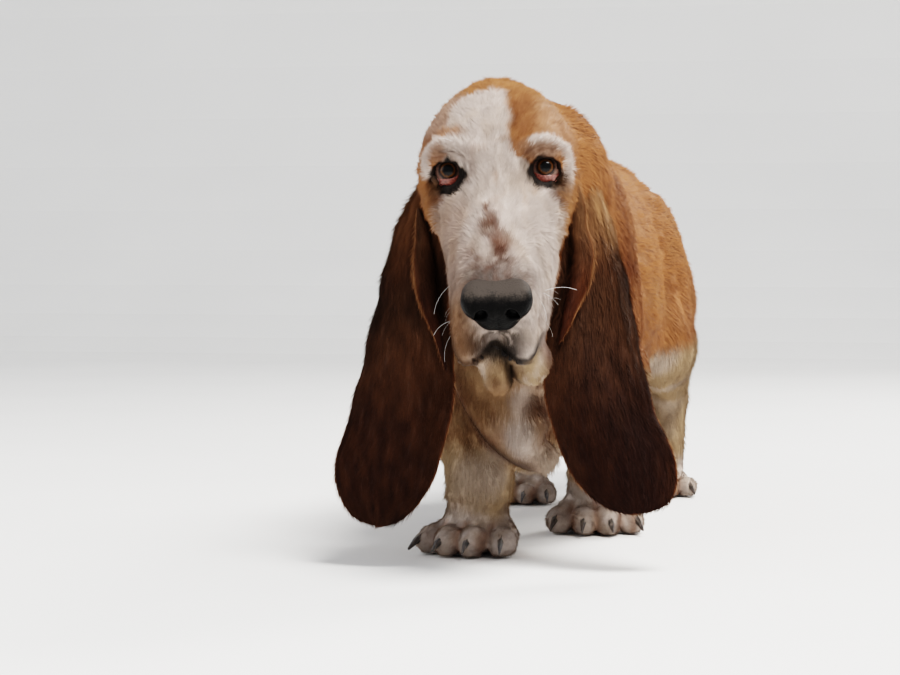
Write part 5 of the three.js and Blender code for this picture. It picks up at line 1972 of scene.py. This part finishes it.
def fur_tone_group():
    """Makes a coat's colour lighter and darker in blotches and along fine hairs."""
    if "Fur tone" in bpy.data.node_groups:
        return bpy.data.node_groups["Fur tone"]
    group, given = shader_group(
        "Fur tone",
        (("Colour", "NodeSocketColor", (0.5, 0.5, 0.5, 1)), ("Amount", "NodeSocketFloat", 0.3)),
        (("Colour", "NodeSocketColor"),),
    )
    place = add_node(group, "ShaderNodeTexCoord").outputs["Object"]
    total = None
    for scale, share in ((55.0, 0.55), (420.0, 0.45)):
        texture = add_node(group, "ShaderNodeTexNoise", {"Vector": place, "Scale": scale, "Detail": 3.0})
        part = float_math(group, "MULTIPLY", texture.outputs[0], share)
        total = part if total is None else float_math(group, "ADD", total, part)
    centred = float_math(group, "SUBTRACT", total, 0.5)
    spread = float_math(group, "MULTIPLY", centred, given["Amount"])
    gain = float_math(group, "ADD", float_math(group, "MULTIPLY", spread, 4.0), 1.0)
    toned = vector_math(group, "SCALE", given["Colour"], scale=gain)
    add_node(group, "NodeGroupOutput", {0: toned})
    return group


def fur_grain_group():
    """Fine streaks along the lie of the coat, as a height."""
    if "Fur grain" in bpy.data.node_groups:
        return bpy.data.node_groups["Fur grain"]
    group, given = shader_group(
        "Fur grain",
        (("Fineness", "NodeSocketFloat", 900.0),),
        (("Height", "NodeSocketFloat"),),
    )
    place = add_node(group, "ShaderNodeTexCoord").outputs["Object"]
    lie = add_node(group, "ShaderNodeAttribute", attribute_name="lie").outputs["Vector"]
    power = vector_math(group, "MULTIPLY", lie, lie)
    share = add_node(group, "ShaderNodeSeparateXYZ", {0: power}).outputs
    total = None
    for axis in range(3):
        stretch = [1.0, 1.0, 1.0]
        stretch[axis] = 0.12
        stretched = vector_math(group, "MULTIPLY", place, stretch)
        texture = add_node(
            group, "ShaderNodeTexNoise", {"Vector": stretched, "Scale": given["Fineness"], "Detail": 2.0}
        )
        part = float_math(group, "MULTIPLY", texture.outputs[0], share[axis])
        total = part if total is None else float_math(group, "ADD", total, part)
    add_node(group, "NodeGroupOutput", {0: total})
    return group


def pebble_group():
    """Small raised cells, as on nose leather, pads and the eye's wet lining."""
    if "Pebbles" in bpy.data.node_groups:
        return bpy.data.node_groups["Pebbles"]
    group, given = shader_group(
        "Pebbles", (("Scale", "NodeSocketFloat", 900.0),), (("Height", "NodeSocketFloat"),)
    )
    place = add_node(group, "ShaderNodeTexCoord").outputs["Object"]
    cells = add_node(group, "ShaderNodeTexVoronoi", {"Vector": place, "Scale": given["Scale"]}, feature="F1")
    bumpy = add_node(group, "ShaderNodeTexNoise", {"Vector": place, "Scale": 260.0, "Detail": 3.0})
    height = float_math(group, "ADD", float_math(group, "MULTIPLY", cells.outputs[0], -0.7), bumpy.outputs[0])
    add_node(group, "NodeGroupOutput", {0: height})
    return group


def new_material(name, **fixed):
    """A material with its shader's fixed values, by socket name."""
    material = bpy.data.materials.new(name)
    material.use_nodes = True
    shader = material.node_tree.nodes["Principled BSDF"]
    for socket, value in fixed.items():
        shader.inputs[socket.replace("_", " ")].default_value = value
    return material, material.node_tree, shader


def fill_group(tree, group, inputs):
    """A shader group in a tree, with its inputs by name."""
    return add_node(tree, "ShaderNodeGroup", inputs, node_tree=group)


def raise_surface(tree, shader, height, strength, distance):
    """Lets a height bend the light on a shader's surface."""
    bump = add_node(tree, "ShaderNodeBump", {"Height": height, "Strength": strength, "Distance": distance})
    tree.links.new(bump.outputs[0], shader.inputs["Normal"])


def coat_colour_node(tree, shader, amount):
    """Gives a shader the painted colour, toned by some amount."""
    colour = add_node(tree, "ShaderNodeAttribute", attribute_name="coat_colour").outputs["Color"]
    toned = fill_group(tree, fur_tone_group(), {"Colour": colour, "Amount": amount})
    tree.links.new(toned.outputs[0], shader.inputs["Base Color"])


def coat_material():
    if "Coat" in bpy.data.materials:
        return bpy.data.materials["Coat"]
    material, tree, shader = new_material("Coat", Roughness=0.6, Specular_IOR_Level=0.05)
    coat_colour_node(tree, shader, 0.12)
    return material


def skin_material(name="Skin under the coat"):
    material, tree, shader = new_material(name, Roughness=0.7, Specular_IOR_Level=0.12)
    coat_colour_node(tree, shader, 0.3)
    grain = fill_group(tree, fur_grain_group(), {"Fineness": 900.0})
    raise_surface(tree, shader, grain.outputs[0], 0.7, 0.0012)
    return material


def whisker_material():
    material, tree, shader = new_material("Whisker", Roughness=0.35)
    colour = (*bpy.context.scene.hound_coat.white, 1)
    toned = fill_group(tree, fur_tone_group(), {"Colour": colour, "Amount": 0.2})
    tree.links.new(toned.outputs[0], shader.inputs["Base Color"])
    return material


def colour_steps(tree, value, steps):
    """A ramp from a value to colours."""
    ramp = add_node(tree, "ShaderNodeValToRGB", {0: value})
    stops = ramp.color_ramp.elements
    for stop, (place, colour) in zip((stops[0], stops[1]), (steps[0], steps[-1])):
        stop.position = place
        stop.color = (*colour, 1)
    for place, colour in steps[1:-1]:
        stops.new(place).color = (*colour, 1)
    return ramp.outputs[0]


EYE_SPAN = 12.0  # millimetres from the pupil's middle that the eye's colour steps cover


def eye_material():
    """Pupil, amber iris with fibres and a dark rim, and a veined white, by the eye's own measure."""
    props = bpy.context.scene.hound_body
    material, tree, shader = new_material(
        "Eye", Roughness=0.35, Coat_Weight=0.3, Coat_Roughness=0.02, Specular_IOR_Level=0.05
    )
    place = add_node(tree, "ShaderNodeAttribute", attribute_name="eye_place").outputs["Vector"]
    flat = vector_math(tree, "MULTIPLY", place, (1.0, 1.0, 0.0))
    out = add_node(tree, "ShaderNodeVectorMath", {0: flat}, operation="LENGTH").outputs["Value"]
    spoke = vector_math(tree, "SCALE", vector_math(tree, "NORMALIZE", flat), scale=5.0)
    fibre = add_node(tree, "ShaderNodeTexNoise", {"Vector": spoke, "Scale": 4.0, "Detail": 4.0}).outputs[0]
    cloud = add_node(tree, "ShaderNodeTexNoise", {"Vector": place, "Scale": 0.5, "Detail": 3.0}).outputs[0]
    stray = float_math(tree, "MULTIPLY", float_math(tree, "ADD", fibre, cloud), 1.6)
    measure = float_math(tree, "ADD", out, float_math(tree, "SUBTRACT", stray, 1.6))
    share = float_math(tree, "DIVIDE", measure, EYE_SPAN)
    pupil, iris = props.pupil * 1000 / EYE_SPAN, props.iris * 1000 / EYE_SPAN
    colour = colour_steps(tree, share, (
        (pupil - 0.02, (0.0008, 0.0008, 0.0008)),
        (pupil + 0.03, (0.016, 0.006, 0.002)),
        ((pupil + iris) / 2, (0.075, 0.030, 0.007)),
        (iris - 0.05, (0.040, 0.014, 0.004)),
        (iris + 0.01, (0.006, 0.004, 0.003)),
        (iris + 0.07, (0.035, 0.022, 0.018)),
        (iris + 0.20, (0.16, 0.09, 0.07)),
    ))
    tree.links.new(colour, shader.inputs["Base Color"])
    return material


def haw_material():
    """Wet pink lining with small veins."""
    material, tree, shader = new_material("Haw", Coat_Weight=0.35, Coat_Roughness=0.08, Roughness=0.4)
    place = add_node(tree, "ShaderNodeTexCoord").outputs["Object"]
    veins = add_node(tree, "ShaderNodeTexNoise", {"Vector": place, "Scale": 700.0, "Detail": 4.0}).outputs[0]
    colour = colour_steps(tree, veins, (
        (0.3, (0.085, 0.017, 0.013)), (0.5, (0.17, 0.043, 0.030)), (0.7, (0.26, 0.09, 0.066))
    ))
    tree.links.new(colour, shader.inputs["Base Color"])
    cells = fill_group(tree, pebble_group(), {"Scale": 1600.0})
    raise_surface(tree, shader, cells.outputs[0], 0.15, 0.0004)
    return material


def nose_material():
    """Moist pebbled leather, greyer and drier on top, where short hair reaches it; the grey top is partly
    painted light and the black below partly painted shade.
    """
    material, tree, shader = new_material("Nose leather", Specular_IOR_Level=0.06)
    top = add_node(tree, "ShaderNodeAttribute", attribute_name="nose_top").outputs["Fac"]
    cells = fill_group(tree, pebble_group(), {"Scale": 820.0})
    tone = float_math(tree, "ADD", float_math(tree, "MULTIPLY", cells.outputs[0], 0.35), top)
    # Grey on top and black below: partly the leather's own colour, partly painted light and shade.
    colour = colour_steps(tree, tone, (
        (0.1, (0.0022, 0.002, 0.002)), (0.42, (0.0045, 0.004, 0.004)), (0.8, (0.022, 0.019, 0.017)),
        (1.0, (0.046, 0.038, 0.033)),
    ))
    tree.links.new(colour, shader.inputs["Base Color"])
    rough = float_math(tree, "ADD", float_math(tree, "MULTIPLY", top, 0.35), 0.3)
    tree.links.new(rough, shader.inputs["Roughness"])
    raise_surface(tree, shader, cells.outputs[0], 0.4, 0.0008)
    return material


def horn_material():
    """Claws: dark horn with streaks along it."""
    material, tree, shader = new_material("Horn", Specular_IOR_Level=0.5)
    place = add_node(tree, "ShaderNodeTexCoord").outputs["Object"]
    stretched = vector_math(tree, "MULTIPLY", place, (1.0, 0.25, 0.6))
    streaks = add_node(tree, "ShaderNodeTexNoise", {"Vector": stretched, "Scale": 620.0, "Detail": 4.0})
    colour = colour_steps(tree, streaks.outputs[0], (
        (0.3, (0.018, 0.015, 0.014)), (0.55, (0.06, 0.048, 0.042)), (0.75, (0.17, 0.14, 0.115))
    ))
    tree.links.new(colour, shader.inputs["Base Color"])
    rough = float_math(tree, "ADD", float_math(tree, "MULTIPLY", streaks.outputs[0], 0.3), 0.22)
    tree.links.new(rough, shader.inputs["Roughness"])
    raise_surface(tree, shader, streaks.outputs[0], 0.4, 0.0008)
    return material


def backdrop_material():
    """Plain pale paper, with the faintest mottle."""
    material, tree, shader = new_material("Backdrop", Roughness=0.9, Specular_IOR_Level=0.2)
    place = add_node(tree, "ShaderNodeTexCoord").outputs["Object"]
    mottle = add_node(tree, "ShaderNodeTexNoise", {"Vector": place, "Scale": 3.0, "Detail": 2.0}).outputs[0]
    base = np.array(bpy.context.scene.hound_stage.floor)
    colour = colour_steps(tree, mottle, ((0.3, base * 0.985), (0.7, np.minimum(base * 1.015, 1))))
    tree.links.new(colour, shader.inputs["Base Color"])
    return material


# Stage


def build_stage():
    props = bpy.context.scene.hound_stage
    floor = mesh_piece("floor", *backdrop(width=7000, depth=9000, bend=1200, height=4500), smooth=False)
    floor.data.materials.append(backdrop_material())
    soft_light("key", (1.0, -1.5, 2.7), (0, -0.2, 0.25), 1.3, props.key, (1.0, 0.98, 0.95))
    soft_light("fill", (-2.2, -1.8, 1.2), (0, -0.2, 0.2), 2.0, props.key * 0.12, (0.95, 0.98, 1.0))
    soft_light("rim", (1.3, 1.9, 1.9), (0, -0.1, 0.25), 1.2, props.key * 0.38, (1.0, 0.98, 0.95))
    world = bpy.data.worlds.new("Studio air")
    world.use_nodes = True
    world.node_tree.nodes["Background"].inputs["Color"].default_value = (0.92, 0.95, 1.0, 1)
    world.node_tree.nodes["Background"].inputs["Strength"].default_value = 0.42
    bpy.context.scene.world = world
    settings = bpy.context.scene.view_settings
    settings.view_transform = "Filmic"
    settings.look = "High Contrast"
    settings.exposure = 0.5


def backdrop(width, depth, bend, height):
    """A floor that curves up into a wall behind, as points and faces."""
    line = [(-depth / 2, 0.0)]
    line += [
        (depth / 2 - bend + bend * math.sin(a), bend - bend * math.cos(a))
        for a in np.linspace(0, math.pi / 2, 13)
    ]
    line.append((depth / 2, height))
    points = [(x, y, z + FLOOR) for y, z in line for x in (-width / 2, width / 2)]
    faces = [(2 * i, 2 * i + 1, 2 * i + 3, 2 * i + 2) for i in range(len(line) - 1)]
    return points, faces


def soft_light(name, at, towards, size, power, colour):
    """A round area light, in metres and watts, that looks at a place."""
    data = bpy.data.lights.new(name, "AREA")
    data.shape = "DISK"
    data.size = size
    data.energy = power
    data.color = colour
    lamp = bpy.data.objects.new(name, data)
    lamp.location = at
    lamp.rotation_euler = (Vector(towards) - Vector(at)).to_track_quat("-Z", "Y").to_euler()
    bpy.context.scene.collection.objects.link(lamp)


def build_camera():
    """The camera that the photograph was taken from, as near as it can be told."""
    at, _, ahead = camera_frame()
    data = bpy.data.cameras.new("camera")
    data.lens = CAMERA_LENS
    data.sensor_width = 36
    camera = bpy.data.objects.new("camera", data)
    camera.location = to_frame(at)
    camera.rotation_euler = Vector(ahead).to_track_quat("-Z", "Y").to_euler()
    bpy.context.scene.collection.objects.link(camera)
    bpy.context.scene.camera = camera


class HOUND_OT_stage(bpy.types.Operator):
    """Makes the floor, the lights and the camera"""

    bl_idname = "hound.stage"
    bl_label = "Stage"

    def execute(self, context):
        build_stage()
        build_camera()
        return {"FINISHED"}


class HOUND_OT_skin(bpy.types.Operator):
    """Makes the one skin that stands for every solid of flesh"""

    bl_idname = "hound.skin"
    bl_label = "Skin"

    def execute(self, context):
        skin = build_skin()
        skin.data.materials.append(skin_material())
        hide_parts(*[n for n in frame["nodes"] if n.startswith(FLESH)])
        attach(skin, "root")
        return {"FINISHED"}


class HOUND_OT_ears(bpy.types.Operator):
    """Makes the two ear flaps"""

    bl_idname = "hound.ears"
    bl_label = "Ears"

    def execute(self, context):
        hide = skin_material("Ear")
        for name in EARS:
            flap, roll = build_ear(name), build_roll(name)
            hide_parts(name)
            for piece in (flap, roll):
                piece.data.materials.append(hide)
                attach(piece, "root")
        return {"FINISHED"}


class HOUND_OT_eyes(bpy.types.Operator):
    """Makes the eyes and the red lining of their lower lids"""

    bl_idname = "hound.eyes"
    bl_label = "Eyes"

    def execute(self, context):
        for side, name in ((1, "eye_left"), (-1, "eye_right")):
            eye = build_eye(side, name)
            eye.data.materials.append(eye_material())
            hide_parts(name)
            haw = build_haw(side, name)
            haw.data.materials.append(haw_material())
            for piece in (eye, haw):
                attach(piece, "root")
        return {"FINISHED"}


class HOUND_OT_nose(bpy.types.Operator):
    """Makes the nose leather"""

    bl_idname = "hound.nose"
    bl_label = "Nose"

    def execute(self, context):
        nose = build_nose()
        nose.data.materials.append(nose_material())
        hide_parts("nose")
        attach(nose, "root")
        return {"FINISHED"}


class HOUND_OT_coat(bpy.types.Operator):
    """Grows the tufts of the coat over the skin and the ears"""

    bl_idname = "hound.coat"
    bl_label = "Coat"

    def execute(self, context):
        build_coat()
        build_ear_coats()
        return {"FINISHED"}


class HOUND_OT_whiskers(bpy.types.Operator):
    """Sets the whiskers on the muzzle and over the eyes"""

    bl_idname = "hound.whiskers"
    bl_label = "Whiskers"

    def execute(self, context):
        build_whiskers()
        return {"FINISHED"}


class HOUND_OT_claws(bpy.types.Operator):
    """Gives the claws their horn"""

    bl_idname = "hound.claws"
    bl_label = "Claws"

    def execute(self, context):
        horn = horn_material()
        for name, claw in frame["nodes"].items():
            if name.startswith("claw"):
                claw.data.materials.clear()
                claw.data.materials.append(horn)
        return {"FINISHED"}


class HOUND_PT_parts(bpy.types.Panel):
    """Lists the pieces and their sizes"""

    bl_idname = "HOUND_PT_parts"
    bl_label = "Basset hound"
    bl_space_type = "VIEW_3D"
    bl_region_type = "UI"
    bl_category = "Hound"

    def draw(self, context):
        scene = context.scene
        for group in (scene.hound_body, scene.hound_coat, scene.hound_stage):
            box = self.layout.box()
            for name in group.__annotations__:
                box.prop(group, name)
        for kind in OPERATORS:
            self.layout.operator(kind.bl_idname)


FLESH = ("head", "neck", "torso", "tail", "foreleg", "hindleg", "forepaw", "hindpaw")

OPERATORS = (
    HOUND_OT_stage,
    HOUND_OT_ears,
    HOUND_OT_eyes,
    HOUND_OT_nose,
    HOUND_OT_skin,
    HOUND_OT_coat,
    HOUND_OT_whiskers,
    HOUND_OT_claws,
)
CLASSES = (HoundBody, HoundCoat, HoundStage, *OPERATORS, HOUND_PT_parts)


def register():
    for kind in CLASSES:
        bpy.utils.register_class(kind)
    bpy.types.Scene.hound_body = PointerProperty(type=HoundBody)
    bpy.types.Scene.hound_coat = PointerProperty(type=HoundCoat)
    bpy.types.Scene.hound_stage = PointerProperty(type=HoundStage)


def unregister():
    del bpy.types.Scene.hound_stage
    del bpy.types.Scene.hound_coat
    del bpy.types.Scene.hound_body
    for kind in reversed(CLASSES):
        bpy.utils.unregister_class(kind)


def main():
    register()
    for kind in OPERATORS:
        group, name = kind.bl_idname.split(".")
        getattr(getattr(bpy.ops, group), name)()


if __name__ == "__main__":
    main()
